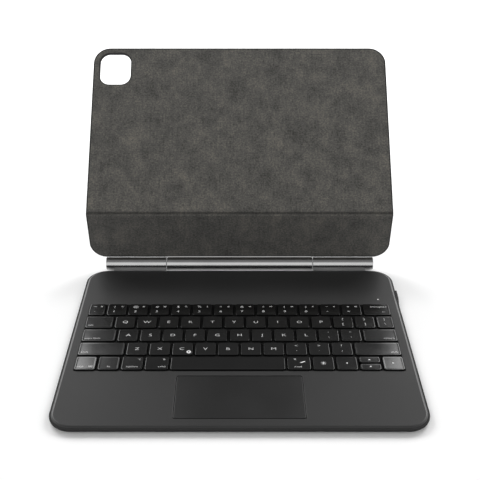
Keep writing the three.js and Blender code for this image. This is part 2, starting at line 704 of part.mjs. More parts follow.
// Where a point of the strip is in the panel's frame, from its depth and how far it is below the fold.
function fromStrip(depth, below) {
  return [
    depth * Math.cos(bend) + below * Math.sin(bend),
    depth * Math.sin(bend) - below * Math.cos(bend),
  ];
}

const skinEnd = setback(COVER.back) - LAYER_GAP;
const foldSkin = bar([
  fromStrip(COVER.back, skinEnd), [COVER.back, skinEnd], [COVER.front, skinEnd],
  fromStrip(COVER.front, skinEnd),
], -lidSideX + LID_RIM, lidSideX - LID_RIM);
addPart(panel, "fold_skin", foldSkin, SOFT_BLACK, 0.8);

// ---- Lid, upper panel ----
// In this group the origin is the fold line, Z runs up the panel and Y to its back.
const windowX = -lidSideX + WINDOW.sideMargin + WINDOW.width / 2;
const windowZ = PANEL_HEIGHT - WINDOW.topMargin - WINDOW.height / 2;

function windowHole(grow) {
  return centredOutline(
    windowX, windowZ, WINDOW.width + 2 * grow, WINDOW.height + 2 * grow, WINDOW.corner + grow,
  );
}

function panelOutline(inset, depth) {
  return outline(
    -lidSideX + inset, lidSideX - inset, setback(depth), PANEL_HEIGHT - inset, 0, LID_CORNER - inset,
  );
}
addPart(
  panel, "upper_lining",
  layer(panelOutline(LID_RIM + 0.1, LINING.back), LINING.front, LINING.back, [windowHole(0)]),
  SUEDE, 0.95,
);

function magnetBlock(side, grow) {
  const x = side * MAGNET.centre;
  return block(
    x - MAGNET.width / 2 - grow, x + MAGNET.width / 2 + grow, STIFFENER.front - grow, STIFFENER.back + grow,
    MAGNET.low - grow, MAGNET.high + grow,
  );
}

addPart(
  panel, "upper_stiffener",
  cut(
    layer(
      panelOutline(innerInset, STIFFENER.back), STIFFENER.front, STIFFENER.back,
      [windowHole(WINDOW.hidden)],
    ),
    magnetBlock(-1, LAYER_GAP), magnetBlock(1, LAYER_GAP),
  ),
  0x3a3b3d, 0.7,
);
for (const [label, side] of sides) {
  addPart(panel, `magnet_bar_${label}`, magnetBlock(side, 0), 0x8a8c90, 0.3, 0.9);
}
const panelCover = cut(
  layer(panelOutline(0, COVER.back), LINING.front, COVER.back, [windowHole(0)]),
  layer(
    outline(-lidSideX + LID_RIM, lidSideX - LID_RIM, -1, PANEL_HEIGHT - LID_RIM, 0, LID_CORNER - LID_RIM),
    -1, COVER.front,
  ),
);
addPart(panel, "upper_cover", panelCover, SOFT_BLACK, 0.75);

export default model;
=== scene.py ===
"""The looks of a tablet keyboard case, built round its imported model. All lengths are in metres."""

import json
import math

import bmesh
import bpy
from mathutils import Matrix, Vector


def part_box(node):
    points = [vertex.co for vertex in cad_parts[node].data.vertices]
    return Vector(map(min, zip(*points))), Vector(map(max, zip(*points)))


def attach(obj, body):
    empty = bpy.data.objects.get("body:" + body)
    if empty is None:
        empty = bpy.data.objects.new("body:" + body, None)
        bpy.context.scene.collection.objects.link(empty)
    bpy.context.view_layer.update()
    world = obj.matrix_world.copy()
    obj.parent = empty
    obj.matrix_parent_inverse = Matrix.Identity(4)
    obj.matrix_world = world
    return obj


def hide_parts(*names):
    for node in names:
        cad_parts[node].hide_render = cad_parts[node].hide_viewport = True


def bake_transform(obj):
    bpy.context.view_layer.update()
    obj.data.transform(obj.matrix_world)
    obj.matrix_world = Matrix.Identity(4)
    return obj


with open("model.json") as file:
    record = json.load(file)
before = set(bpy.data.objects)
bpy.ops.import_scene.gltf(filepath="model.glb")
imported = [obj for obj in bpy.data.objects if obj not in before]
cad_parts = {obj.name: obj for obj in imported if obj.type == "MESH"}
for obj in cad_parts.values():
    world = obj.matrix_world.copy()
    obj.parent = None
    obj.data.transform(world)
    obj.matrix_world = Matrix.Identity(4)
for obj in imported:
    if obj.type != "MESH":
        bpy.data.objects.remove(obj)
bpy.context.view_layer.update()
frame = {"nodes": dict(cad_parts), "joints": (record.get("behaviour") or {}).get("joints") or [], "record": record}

MM = 0.001

# ---- Sizes that the frame gives ----
COVER_LOW, COVER_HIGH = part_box("bottom_cover")
DECK_LOW, DECK_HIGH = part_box("deck_shell")
PAD_LOW, PAD_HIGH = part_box("trackpad_plate")
LIGHT_LOW, LIGHT_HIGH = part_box("status_light")
PORT_LOW, PORT_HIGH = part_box("charging_receptacle")
PORT_Y, PORT_Z = (PORT_LOW.y + PORT_HIGH.y) / 2, (PORT_LOW.z + PORT_HIGH.z) / 2
PORT_LENGTH, PORT_HEIGHT = PORT_HIGH.y - PORT_LOW.y, PORT_HIGH.z - PORT_LOW.z
JOINTS = {joint["name"]: joint for joint in frame["joints"]}
HINGE = Vector(JOINTS["lid_tilt"]["pos_m"])
FOLD = Vector(JOINTS["lid_fold"]["pos_m"])

# ---- Sizes of the design ----
BASE_CORNER = 18.5 * MM
COVER_UNDERCUT = 2.7 * MM
COVER_SIDE_LOW = 2.5 * MM
COVER_RIM = 1.2 * MM
COVER_RIM_TOP = 4.4 * MM
COVER_LEDGE = 3.05 * MM
COVER_LEDGE_INSET = 3.7 * MM
COVER_FLOOR = 1.3 * MM
DECK_INSET = 1.3 * MM
DECK_WALL = 2.0 * MM
DECK_UNDERSIDE = 4.4 * MM
DECK_BEVEL_LOW = 4.56 * MM
BEVEL_NORMAL = 0.97  # the deck's bevel is the faces whose normal's Z is below this
KEY_SIDE_NORMAL = 0.9  # a key's sides, painted near-black as painted shade, are the faces whose normal's Z is below this
EDGE_GAP = 0.4 * MM
PAD_GAP = 0.5 * MM
PAD_CORNER = 1.5 * MM
PAD_HOLE_CORNER = 1.9 * MM
LIGHT_RADIUS = 0.65 * MM
LIGHT_GAP = 0.1 * MM
UNDER_BASE, OVER_BASE = -1 * MM, 8 * MM  # where a cutter that passes through the base starts and ends
KEY_SPACING = 1.85 * MM
KEY_PITCH = 18.65 * MM
KEY_CORNER = 2.0 * MM
SWELL_FRONT, SWELL_FULL, SWELL_REAR = 48.5 * MM, 64 * MM, 74 * MM
SWELL_STEP = 0.9 * MM
SWELL_REACH = 1.2 * MM
SWELL_RISE = 0.5 * MM
PORT_GAP = 0.1 * MM
SLIDER_FOOT = 2.5 * MM
SLIDER_SLOT = (55.5 * MM, 3.4 * MM, 7.2 * MM, 2.0 * MM)  # its middle's Y and Z, its length and height
STRIP_LEAN = math.radians(7.5)
PANEL_LEAN = math.radians(46.4)
STRIP_HEIGHT = 50.1 * MM
PANEL_HEIGHT = 170.4 * MM
LID_CORNER = 16 * MM
LID_HALF = -COVER_LOW.x
BEND_HALF = 2.0 * MM
BARREL_RADIUS = 6.0 * MM
BORE_RADIUS = 2.2 * MM
FLAT_PLACE = "flat_place"  # the lid's points before it is bent, which its nap and the painted shade at its crease follow in every pose
WINDOW_CENTRE = (-LID_HALF + 21.35 * MM, PANEL_HEIGHT - 22.3 * MM)
WINDOW_SIZE = (29.7 * MM, 33 * MM)
WINDOW_CORNER = 9.5 * MM

# The middle leaf's section in millimetres: depth behind the lining's face and height above the hinge line,
# each with the direction that draws it in.
FACE_BEHIND_AXIS = 5.97
LEAF_SECTION = [
    ((-2.7, 2.05), (1, 1)), ((2.1, 2.05), (0, 1)), ((2.3, 2.25), (-1, 0)), ((2.3, 14.0), (-1, -1)),
    ((1.1, 14.0), (1, -1)), ((1.1, 2.85), (1, -1)), ((-0.3, 2.85), (-1, -1)), ((-0.3, 4.2), (-1, 0)),
    ((-0.42, 4.35), (0, -1)), ((-0.6, 4.3), (1, -1)), ((-1.9, 2.9), (1, -1)), ((-2.7, 2.5), (1, -1)),
]

# ---- Camera ----
SENSOR_WIDTH = 36  # millimetres
FOCAL_SHARE = 845 / 480  # focal length over the frame's width
CAMERA_PLACE = (0.00035, -0.5683, 0.4322)
CAMERA_PITCH = math.radians(30.24)


def add_object(name, data):
    made = bpy.data.objects.new(name, data)
    bpy.context.scene.collection.objects.link(made)
    return made


def make_camera():
    data = bpy.data.cameras.new("camera")
    data.sensor_width = SENSOR_WIDTH
    data.lens = SENSOR_WIDTH * FOCAL_SHARE
    camera = add_object("camera", data)
    camera.location = CAMERA_PLACE
    camera.rotation_euler = (math.pi / 2 - CAMERA_PITCH, 0, 0)
    bpy.context.scene.camera = camera


# ---- Studio ----
CEILING_ELEVATION = math.radians(80)
CEILING_RADIUS = math.radians(50)
CEILING_FADE = math.radians(9)
CEILING_LEVEL = 0.26
WALL_LEVEL = 1.04
SOFTBOX_SIZE = (1.0, 1.1)
SOFTBOX_LEVEL = 6.0
SOFTBOX_PLACE = (0.933, 1.258, 1.0)  # the right one's; the left one mirrors it
SOFTBOX_AIM = 0.13  # how far to its own side each one is aimed
FLOOR_HALF = 6.0

# ---- Materials ----
class Nodes:
    """A short way to write a material's node tree."""

    def __init__(self, name):
        self.material = bpy.data.materials.new(name)
        self.material.use_nodes = True
        self.tree = self.material.node_tree
        self.tree.nodes.clear()
        self.shader = self.add("ShaderNodeBsdfPrincipled")
        output = self.add("ShaderNodeOutputMaterial")
        self.link(self.shader.outputs["BSDF"], output.inputs["Surface"])
        self.place = self.add("ShaderNodeTexCoord").outputs["Object"]

    def add(self, kind, inputs=None, **settings):
        node = self.tree.nodes.new(kind)
        for name, value in settings.items():
            setattr(node, name, value)
        for name, value in (inputs or {}).items():
            node.inputs[name].default_value = value
        return node

    def link(self, source, target):
        self.tree.links.new(source, target)

    def set(self, **values):
        for name, value in values.items():
            self.shader.inputs[name.replace("_", " ")].default_value = value

    def scaled(self, x, y, z):
        """Coordinates stretched by x, y and z."""
        mapping = self.add("ShaderNodeMapping", {"Scale": (x, y, z)})
        self.link(self.place, mapping.inputs["Vector"])
        return mapping.outputs["Vector"]

    def noise(self, scale, detail=2.0, roughness=0.5, distortion=0.0, place=None):
        node = self.add("ShaderNodeTexNoise", {
            "Scale": scale, "Detail": detail, "Roughness": roughness, "Distortion": distortion})
        self.link(place or self.place, node.inputs["Vector"])
        return node.outputs["Fac"]

    def cells(self, scale):
        node = self.add("ShaderNodeTexVoronoi", feature="SMOOTH_F1")
        node.inputs["Scale"].default_value = scale
        self.link(self.place, node.inputs["Vector"])
        return node.outputs["Distance"]

    def remap(self, value, low, high, to_low, to_high):
        node = self.add("ShaderNodeMapRange", {
            "From Min": low, "From Max": high, "To Min": to_low, "To Max": to_high})
        self.link(value, node.inputs["Value"])
        return node.outputs["Result"]

    def ramp(self, value, stops):
        node = self.add("ShaderNodeValToRGB")
        elements = node.color_ramp.elements
        while len(elements) < len(stops):
            elements.new(0.5)
        for element, (position, color) in zip(elements, stops):
            element.position = position
            element.color = (*color, 1)
        self.link(value, node.inputs["Fac"])
        return node.outputs["Color"]

    def shaded(self, color, painted_shade):
        """A colour multiplied by another."""
        node = self.add("ShaderNodeMix", data_type="RGBA", blend_type="MULTIPLY")
        node.inputs["Factor"].default_value = 1.0
        self.link(color, node.inputs["A"])
        self.link(painted_shade, node.inputs["B"])
        return node.outputs["Result"]

    def add_up(self, a, b, share):
        """a plus share times b."""
        node = self.add("ShaderNodeMath", operation="MULTIPLY_ADD")
        node.inputs[1].default_value = share
        self.link(b, node.inputs[0])
        self.link(a, node.inputs[2])
        return node.outputs["Value"]

    def bump(self, height, distance):
        node = self.add("ShaderNodeBump", {"Distance": distance})
        self.link(height, node.inputs["Height"])
        self.link(node.outputs["Normal"], self.shader.inputs["Normal"])

    def color(self, source):
        self.link(source, self.shader.inputs["Base Color"])

    def greys(self, value, low, high, dark, light):
        """A base colour that goes from dark grey at low to light grey at high."""
        self.color(self.ramp(value, [(low, grey(dark)), (high, grey(light))]))

    def roughness(self, source):
        self.link(source, self.shader.inputs["Roughness"])


def grey(level):
    return (level, level, level)


def soft_touch(name, level, roughness, grain, specular):
    """A soft-touch coating: a fine even grain, faint cloudy handling marks."""
    n = Nodes(name)
    clouds = n.noise(14, detail=4)
    n.greys(clouds, 0.35, 0.65, level * 0.93, level * 1.07)
    fine = n.noise(2600, detail=1)
    n.roughness(n.remap(n.add_up(clouds, fine, 0.4), 0.5, 0.9, roughness - 0.04, roughness + 0.05))
    n.bump(n.add_up(fine, n.cells(1900), 0.6), grain)
    n.set(Specular_IOR_Level=specular)
    return n.material


def leather_grain(name, level):
    """Thin polyurethane skin with a fine leather grain."""
    n = Nodes(name)
    clouds = n.noise(18, detail=5)
    cells = n.cells(950)
    n.greys(n.add_up(clouds, cells, 0.25), 0.35, 0.75, level * 0.85, level * 1.12)
    n.roughness(n.remap(clouds, 0.35, 0.65, 0.62, 0.74))
    n.bump(n.add_up(cells, n.noise(3000, detail=2), 0.35), 0.05 * MM)
    n.set(Specular_IOR_Level=0.2)
    return n.material


def key_plastic(name, level):
    """Smooth black key plastic, which mirrors a bright room at a low angle."""
    n = Nodes(name)
    fine = n.noise(2400, detail=2)
    wear = n.noise(45, detail=3)
    n.greys(wear, 0.35, 0.7, level * 0.94, level * 1.06)
    n.roughness(n.remap(n.add_up(wear, fine, 0.3), 0.45, 0.85, 0.1, 0.15))
    n.bump(fine, 0.002 * MM)
    n.set(Specular_IOR_Level=0.4)
    return n.material


def legend_ink():
    n = Nodes("legend_ink")
    n.greys(n.noise(300), 0.3, 0.7, 0.72, 0.8)
    n.set(Roughness=0.55)
    return n.material


def trackpad_surface():
    n = Nodes("trackpad_surface")
    smears = n.noise(22, detail=3)
    n.greys(smears, 0.3, 0.7, 0.0075, 0.0088)
    n.roughness(n.remap(smears, 0.35, 0.65, 0.3, 0.34))
    n.bump(n.noise(5200, detail=1), 0.002 * MM)
    n.set(Specular_IOR_Level=0.28)
    return n.material


def polished_steel():
    """Turned steel: faint marks run round it."""
    n = Nodes("polished_steel")
    rings = n.noise(1.0, detail=2, place=n.scaled(2600, 25, 25))
    marks = n.noise(40, detail=3)
    n.greys(marks, 0.3, 0.7, 0.5, 0.55)
    n.roughness(n.remap(rings, 0.3, 0.7, 0.17, 0.22))
    n.bump(rings, 0.0006 * MM)
    n.set(Metallic=1.0)
    return n.material


def blasted_aluminium():
    n = Nodes("blasted_aluminium")
    grains = n.noise(3800, detail=2)
    n.greys(n.noise(60, detail=3), 0.3, 0.7, 0.5, 0.58)
    n.roughness(n.remap(grains, 0.3, 0.7, 0.3, 0.4))
    n.bump(grains, 0.003 * MM)
    n.set(Metallic=1.0)
    return n.material


def suede():
    """Microfibre suede: mottled nap over a fine fibre, with painted shade over the strip and in the crease just
    above the fold, and a painted highlight just below the fold.
    """
    n = Nodes("suede")
    n.place = n.add("ShaderNodeAttribute", attribute_name=FLAT_PLACE).outputs["Vector"]
    patches = n.noise(44, detail=8, roughness=0.74, distortion=0.3)
    streaks = n.noise(1.0, detail=3, roughness=0.6, place=n.scaled(420, 60, 60))
    fibre = n.noise(620, detail=3, roughness=0.7)
    tone = n.add_up(n.add_up(patches, streaks, 0.3), fibre, 1.1)
    nap = n.ramp(n.remap(tone, 0.94, 1.46, 0, 1), [
        (0.0, (0.038, 0.036, 0.032)), (0.4, (0.079, 0.077, 0.071)),
        (0.6, (0.102, 0.098, 0.089)), (1.0, (0.165, 0.152, 0.128)),
    ])
    parts = n.add("ShaderNodeSeparateXYZ")
    n.link(n.place, parts.inputs[0])
    across_fold = n.remap(parts.outputs["Y"], -5 * MM, 5 * MM, 0, 1)
    # Painted shade and highlight across the fold, in the flat lid's coordinates: the strip darkened throughout, a
    # lighter band as painted highlight just below the fold, and a painted shadow in the crease just above it,
    # fading back to the panel's full colour.
    painted_shade = n.ramp(across_fold, [
        (0.0, grey(0.64)), (0.3, grey(0.66)), (0.4, grey(0.95)), (0.5, grey(0.75)), (0.6, grey(0.36)),
        (0.7, grey(0.5)), (0.82, grey(0.95)), (1.0, grey(1.0)),
    ])
    n.color(n.shaded(nap, painted_shade))
    n.bump(n.add_up(fibre, patches, 0.4), 0.15 * MM)
    n.set(Roughness=0.95, Sheen_Weight=0.2, Sheen_Roughness=0.6, Specular_IOR_Level=0.15)
    return n.material


def plain(name, color, roughness, metallic=0.0, specular=0.5):
    """An inner part's finish: one colour with faint variation and a fine texture."""
    n = Nodes(name)
    spots = n.noise(400, detail=3)
    dark = tuple(c * 0.88 for c in color)
    n.color(n.ramp(spots, [(0.3, dark), (0.7, color)]))
    n.roughness(n.remap(spots, 0.3, 0.7, roughness - 0.05, roughness + 0.05))
    n.bump(spots, 0.01 * MM)
    n.set(Metallic=metallic, Specular_IOR_Level=specular)
    return n.material


DECK_COATING = soft_touch("deck_coating", 0.029, 0.5, 0.012 * MM, specular=0.14)
DECK_EDGE = soft_touch("deck_edge", 0.03, 0.38, 0.006 * MM, specular=0.55)
COVER_SKIN = leather_grain("cover_skin", 0.017)
KEY_PLASTIC = key_plastic("key_plastic", 0.005)
# Painted shade: a near-black, barely reflective finish for the key sides, the web between the keys and the inner
# parts seen between them.
KEY_GAP_PAINTED_SHADE = plain("key_gap_painted_shade", (0.003, 0.003, 0.003), 0.7, specular=0.06)
LEGEND_INK = legend_ink()
TRACKPAD_SURFACE = trackpad_surface()
STEEL = polished_steel()
LEAF_METAL = blasted_aluminium()
SUEDE = suede()
MILKY_PLASTIC = plain("milky_plastic", (0.8, 0.8, 0.78), 0.3)
LIT_LENS = plain("lit_lens", (0.8, 0.8, 0.8), 0.3)
LENS_INPUTS = LIT_LENS.node_tree.nodes["Principled BSDF"].inputs
LENS_INPUTS["Emission Strength"].default_value = 0.3
LENS_INPUTS["Emission Color"].default_value = (1, 1, 1, 1)
INNER_FINISHES = {
    "stiffener": plain("fibre_board", (0.05, 0.05, 0.052), 0.8),
    "sheet_metal": plain("sheet_metal", (0.5, 0.5, 0.52), 0.4, metallic=1.0),
    "steel": plain("plain_steel", (0.45, 0.45, 0.47), 0.35, metallic=1.0),
    "rubber": plain("dome_rubber", (0.03, 0.03, 0.03), 0.8),
    "clear_plastic": MILKY_PLASTIC,
    "battery": plain("cell_foil", (0.25, 0.26, 0.28), 0.45),
    "circuit_board": plain("solder_mask", (0.03, 0.1, 0.055), 0.4),
    "hinge_leaf": LEAF_METAL,
    "hinge_barrel": STEEL,
    "outer_cover": COVER_SKIN,
    "deck": DECK_COATING,
    "keys": KEY_PLASTIC,
    "trackpad": TRACKPAD_SURFACE,
    "lining": SUEDE,
}
SEEN_BETWEEN_KEYS = ("light_guide", "dome_sheet", "key_plate")  # these, seen between the keys, are painted near-black as painted shade


# ---- Mesh helpers ----
MERGE = 1e-7  # points closer than this are one point
SMOOTH_ANGLE = math.radians(32)


def rounded_rectangle(x0, x1, y0, y1, radius, steps, side_points=()):
    """Points and outward directions round a rectangle, counter-clockwise from its low left corner.
    side_points are extra places along the straight right side."""
    corners = [
        (x0, y0, 1, 1, math.pi), (x1, y0, -1, 1, 1.5 * math.pi),
        (x1, y1, -1, -1, 0.0), (x0, y1, 1, -1, 0.5 * math.pi),
    ]
    points = []
    for index, (x, y, in_x, in_y, start) in enumerate(corners):
        for step in range(steps + 1):
            angle = start + 0.5 * math.pi * step / steps
            out = (math.cos(angle), math.sin(angle))
            points.append(((x + radius * (in_x + out[0]), y + radius * (in_y + out[1])), out))
        if index == 1:
            points += [((x1, y), (1.0, 0.0)) for y in side_points]
    return points


def around(x, y, half_x, half_y, radius, steps):
    """A rounded rectangle about a middle point."""
    return rounded_rectangle(x - half_x, x + half_x, y - half_y, y + half_y, radius, steps=steps)


def drawn_in(outline, inset):
    return [(p[0] - out[0] * inset, p[1] - out[1] * inset) for p, out in outline]


def add_rings(bm, rings, material=0, inward=False):
    """Joins rings of 3-D points, low to high, and returns their vertices."""
    made = [[bm.verts.new(p) for p in ring] for ring in rings]
    for lower, upper in zip(made, made[1:]):
        count = len(lower)
        for i in range(count):
            following = (i + 1) % count
            corners = [lower[i], lower[following], upper[following], upper[i]]
            face = bm.faces.new(corners[::-1] if inward else corners)
            face.material_index = material
    return made


def add_cap(bm, ring, material=0):
    bm.faces.new(ring).material_index = material


def add_solid(bm, rings, material=0):
    """A closed solid from rings of points, capped at both ends."""
    made = add_rings(bm, rings, material)
    add_cap(bm, made[0][::-1], material)
    add_cap(bm, made[-1], material)


def stacked(bm, outline, levels):
    """A solid standing up: the outline drawn in by each level's inset at each level's height."""
    add_solid(bm, [[(x, y, z) for x, y in drawn_in(outline, inset)] for z, inset in levels])


def set_into_side(bm, outline, levels, material=0):
    """A solid lying along X: an outline in Y and Z, drawn in by each level's inset at each level's X."""
    add_solid(bm, [[(x, a, b) for a, b in drawn_in(outline, inset)] for x, inset in levels], material)


def add_cut(bm, place, normal):
    """New edges where a plane crosses the mesh."""
    bmesh.ops.bisect_plane(
        bm, geom=bm.verts[:] + bm.edges[:] + bm.faces[:], dist=MERGE, plane_co=place, plane_no=normal)


def mark_sharp(bm):
    """Smooth faces, with a sharp edge where two of them meet at SMOOTH_ANGLE or more."""
    for face in bm.faces:
        face.smooth = True
    for edge in bm.edges:
        edge.smooth = len(edge.link_faces) == 2 and edge.calc_face_angle(math.pi) < SMOOTH_ANGLE


def weight_normals(piece):
    piece.modifiers.new("normals", "WEIGHTED_NORMAL").keep_sharp = True


def make_piece(name, bm, *materials, weighted=True):
    """An object from a bmesh, smooth but for its sharp edges."""
    mesh = bpy.data.meshes.new(name)
    mark_sharp(bm)
    bm.to_mesh(mesh)
    bm.free()
    piece = add_object(name, mesh)
    for material in materials:
        mesh.materials.append(material)
    if weighted:
        weight_normals(piece)
    return piece


def carve(piece, cutters):
    """Cuts bmesh solids out of a piece, one after another, and keeps the result."""
    for cutter_bm in cutters:
        mesh = bpy.data.meshes.new("cutter")
        cutter_bm.to_mesh(mesh)
        cutter_bm.free()
        cutter = add_object("cutter", mesh)
        modifier = piece.modifiers.new("cut", "BOOLEAN")
        modifier.operation = "DIFFERENCE"
        modifier.solver = "EXACT"
        modifier.object = cutter
        evaluated = piece.evaluated_get(bpy.context.evaluated_depsgraph_get())
        result = bpy.data.meshes.new_from_object(evaluated)
        piece.modifiers.remove(modifier)
        piece.data = result
        bpy.data.objects.remove(cutter)


def smooth_carved(piece):
    """Cleans up after carving, and shades the piece as make_piece does."""
    bm = bmesh.new()
    bm.from_mesh(piece.data)
    bmesh.ops.remove_doubles(bm, verts=bm.verts, dist=MERGE)
    bmesh.ops.dissolve_degenerate(bm, edges=bm.edges, dist=MERGE)
    mark_sharp(bm)
    bm.to_mesh(piece.data)
    bm.free()
    weight_normals(piece)


def finish_piece(piece, body, slot, *nodes):
    """Gives the piece its body and hides the nodes whose place it takes; slot is not used."""
    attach(piece, body)
    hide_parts(*nodes)


# ---- Base ----
def swelling(y):
    """The swelling's share at a place along the right side: drawn out in front, abrupt behind."""
    rise = min(max((y - SWELL_FRONT) / (SWELL_FULL - SWELL_FRONT), 0), 1)
    fall = min(max((SWELL_REAR - y) / SWELL_STEP, 0), 1)
    return rise * rise * (3 - 2 * rise) * math.sin(0.5 * math.pi * fall)


def base_outline(inset=0.0):
    """The base's plan, drawn in, with points where the swelling changes."""
    side = [SWELL_FRONT + (SWELL_REAR - SWELL_STEP - SWELL_FRONT) * i / 24 for i in range(25)]
    side += [SWELL_REAR - SWELL_STEP * (1 - i / 5) for i in range(1, 6)]
    half_x, half_y = LID_HALF - inset, COVER_HIGH.y - inset
    return rounded_rectangle(
        -half_x, half_x, -half_y, half_y, BASE_CORNER - inset, steps=20, side_points=side)


def make_bottom_cover():
    """A tray with a drawn-in underside, a ledge for the deck and a rim that swells round the port."""
    top = COVER_RIM_TOP
    levels = [  # height, inset, share of the swelling's reach, share of its rise
        (0, COVER_UNDERCUT + 0.4 * MM, 0, 0), (0.1 * MM, COVER_UNDERCUT, 0, 0),
        (1.3 * MM, 1.25 * MM, 0, 0), (1.7 * MM, 0.75 * MM, 0.55, 0),
        (COVER_SIDE_LOW - 0.3 * MM, 0.2 * MM, 0.95, 0), (COVER_SIDE_LOW + 0.2 * MM, 0.02 * MM, 1, 0),
        (top - 0.45 * MM, 0, 1, 1), (top - 0.15 * MM, 0.08 * MM, 1, 1), (top, 0.3 * MM, 1, 1),
        (top, COVER_RIM - 0.15 * MM, 0, 1), (top - 0.12 * MM, COVER_RIM, 0, 1),
        (COVER_LEDGE, COVER_RIM, 0, 0), (COVER_LEDGE, COVER_LEDGE_INSET, 0, 0),
        (COVER_FLOOR, COVER_LEDGE_INSET, 0, 0),
    ]
    bm = bmesh.new()
    straight = LID_HALF - 1e-6
    rings = []
    for z, inset, out_share, rise_share in levels:
        ring = []
        for (x, y), out in base_outline():
            share = swelling(y) if x > straight else 0.0
            ring.append((
                x - out[0] * inset + share * out_share * SWELL_REACH, y - out[1] * inset,
                z + share * rise_share * SWELL_RISE,
            ))
        rings.append(ring)
    add_solid(bm, rings)
    cover = make_piece("bottom_cover_skin", bm, COVER_SKIN, weighted=False)
    carve(cover, [*side_mouths(), leaf_slot_cutter()])
    smooth_carved(cover)
    finish_piece(cover, "base", "outer_cover", "bottom_cover")


def side_slot(bm, y, z, length, height):
    """A slot with round ends through the right wall, with a softened mouth."""
    outline = around(y, z, length / 2, height / 2, height * 0.49, steps=6)
    face = LID_HALF + SWELL_REACH
    levels = [
        (face - 9 * MM, 0), (face - 0.35 * MM, 0), (face - 0.1 * MM, -0.12 * MM), (face + 1 * MM, -0.3 * MM),
    ]
    set_into_side(bm, outline, levels)


def side_mouths():
    """Cutters for the port's mouth and the slider's slot."""
    port, slider = bmesh.new(), bmesh.new()
    side_slot(port, PORT_Y, PORT_Z, PORT_LENGTH + 2 * PORT_GAP, PORT_HEIGHT + 2 * PORT_GAP)
    side_slot(slider, *SLIDER_SLOT)
    return [port, slider]


def leaf_slot_cutter():
    """Slots in the rear wall for the base's two hinge leaves."""
    bm = bmesh.new()
    gap = 0.15 * MM
    for name in ("hinge_leaf_left", "hinge_leaf_right"):
        low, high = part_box(name)
        slot = rounded_rectangle(
            low.x - gap, high.x + gap, low.y - gap, COVER_HIGH.y + 1 * MM, 0.2 * MM, steps=2)
        stacked(bm, slot, [(low.z - gap, 0), (high.z + gap, 0)])
    return bm


def opening_cutter(bm, low, high, gap, corner):
    """A through hole with a softened upper edge, wider than a box by a gap all round."""
    outline = rounded_rectangle(low.x - gap, high.x + gap, low.y - gap, high.y + gap, corner, steps=5)
    top = DECK_HIGH.z
    stacked(bm, outline, [
        (UNDER_BASE, 0), (top - 0.28 * MM, 0), (top - 0.1 * MM, -0.07 * MM),
        (top - 0.02 * MM, -0.2 * MM), (top + 0.3 * MM, -0.4 * MM),
    ])


def key_boxes():
    """Every cap: its body, its place in the body's row, and its low and high corners."""
    caps = []
    for name in sorted(frame["nodes"]):
        if not name.startswith("key") or name in ("key_frame", "key_plate"):
            continue
        low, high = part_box(name)
        width = high.x - low.x
        count = round((width + KEY_SPACING) / KEY_PITCH) if name.startswith("keys_") else 1
        step = (width + KEY_SPACING) / count
        for i in range(count):
            left = low.x + i * step
            right = left + step - KEY_SPACING
            caps.append((name, i, Vector((left, low.y, low.z)), Vector((right, high.y, high.z))))
    return caps


def key_field():
    """The low and high corners of the field that the keys stand in, which is painted near-black as painted shade.
    """
    boxes = [(low, high) for _, _, low, high in key_boxes()]
    field_low = Vector([min(low[axis] for low, _ in boxes) - EDGE_GAP for axis in range(3)])
    field_high = Vector([max(high[axis] for _, high in boxes) + EDGE_GAP for axis in range(3)])
    return field_low, field_high


def make_deck():
    """The deck, with the web between the keys painted near-black as painted shade, and a bevel that handling has
    polished.
    """
    outline = base_outline(DECK_INSET)
    top = DECK_HIGH.z
    bm = bmesh.new()
    stacked(bm, outline, [
        (DECK_LOW.z, 0.15 * MM), (DECK_LOW.z + 0.2 * MM, 0), (4.42 * MM, 0), (DECK_BEVEL_LOW, 0.05 * MM),
        (4.7 * MM, 0.2 * MM), (5.4 * MM, 1.33 * MM), (5.5 * MM, 1.53 * MM), (5.57 * MM, 1.75 * MM),
        (top, 2.05 * MM),
    ])
    field_low, field_high = key_field()
    for way in ((1, 0, 0), (0, 1, 0)):
        for corner in (field_low, field_high):
            add_cut(bm, corner, way)
    deck = make_piece("deck_skin", bm, DECK_COATING, KEY_GAP_PAINTED_SHADE, DECK_EDGE, weighted=False)

    cavity = bmesh.new()
    stacked(cavity, base_outline(DECK_INSET + DECK_WALL), [(UNDER_BASE, 0), (DECK_UNDERSIDE, 0)])

    holes = bmesh.new()
    shared = ("key_arrow_down", "key_arrow_up")  # these two stand in one opening
    openings = [(low, high) for name, _, low, high in key_boxes() if name not in shared]
    openings.append((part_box(shared[0])[0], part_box(shared[1])[1]))
    for low, high in openings:
        opening_cutter(holes, low, high, EDGE_GAP, KEY_CORNER + EDGE_GAP)
    opening_cutter(holes, PAD_LOW, PAD_HIGH, PAD_GAP, PAD_HOLE_CORNER)
    light_centre = (LIGHT_LOW + LIGHT_HIGH) / 2
    light_hole = around(light_centre.x, light_centre.y, *[LIGHT_RADIUS + LIGHT_GAP] * 3, steps=6)
    stacked(holes, light_hole, [(UNDER_BASE, 0), (OVER_BASE, 0)])
    carve(deck, [cavity, holes, *side_mouths(), leaf_slot_cutter()])
    # Painted shade: the web inside the key field takes the near-black material; the bevel takes the glossier edge
    # finish.
    for face in deck.data.polygons:
        x, y, z = face.center
        if field_low.x < x < field_high.x and field_low.y < y < field_high.y:
            face.material_index = 1
        elif z > DECK_BEVEL_LOW and face.normal.z < BEVEL_NORMAL:
            face.material_index = 2
    smooth_carved(deck)
    finish_piece(deck, "base", "deck", "deck_shell", "key_frame")


def make_trackpad():
    bm = bmesh.new()
    outline = rounded_rectangle(PAD_LOW.x, PAD_HIGH.x, PAD_LOW.y, PAD_HIGH.y, PAD_CORNER, steps=8)
    top = PAD_HIGH.z
    stacked(bm, outline, [
        (PAD_LOW.z, 0.1 * MM), (PAD_LOW.z + 0.1 * MM, 0), (top - 0.3 * MM, 0),
        (top - 0.12 * MM, 0.06 * MM), (top - 0.03 * MM, 0.17 * MM), (top, 0.34 * MM),
    ])
    finish_piece(make_piece("trackpad_skin", bm, TRACKPAD_SURFACE), "trackpad", "trackpad", "trackpad_plate")


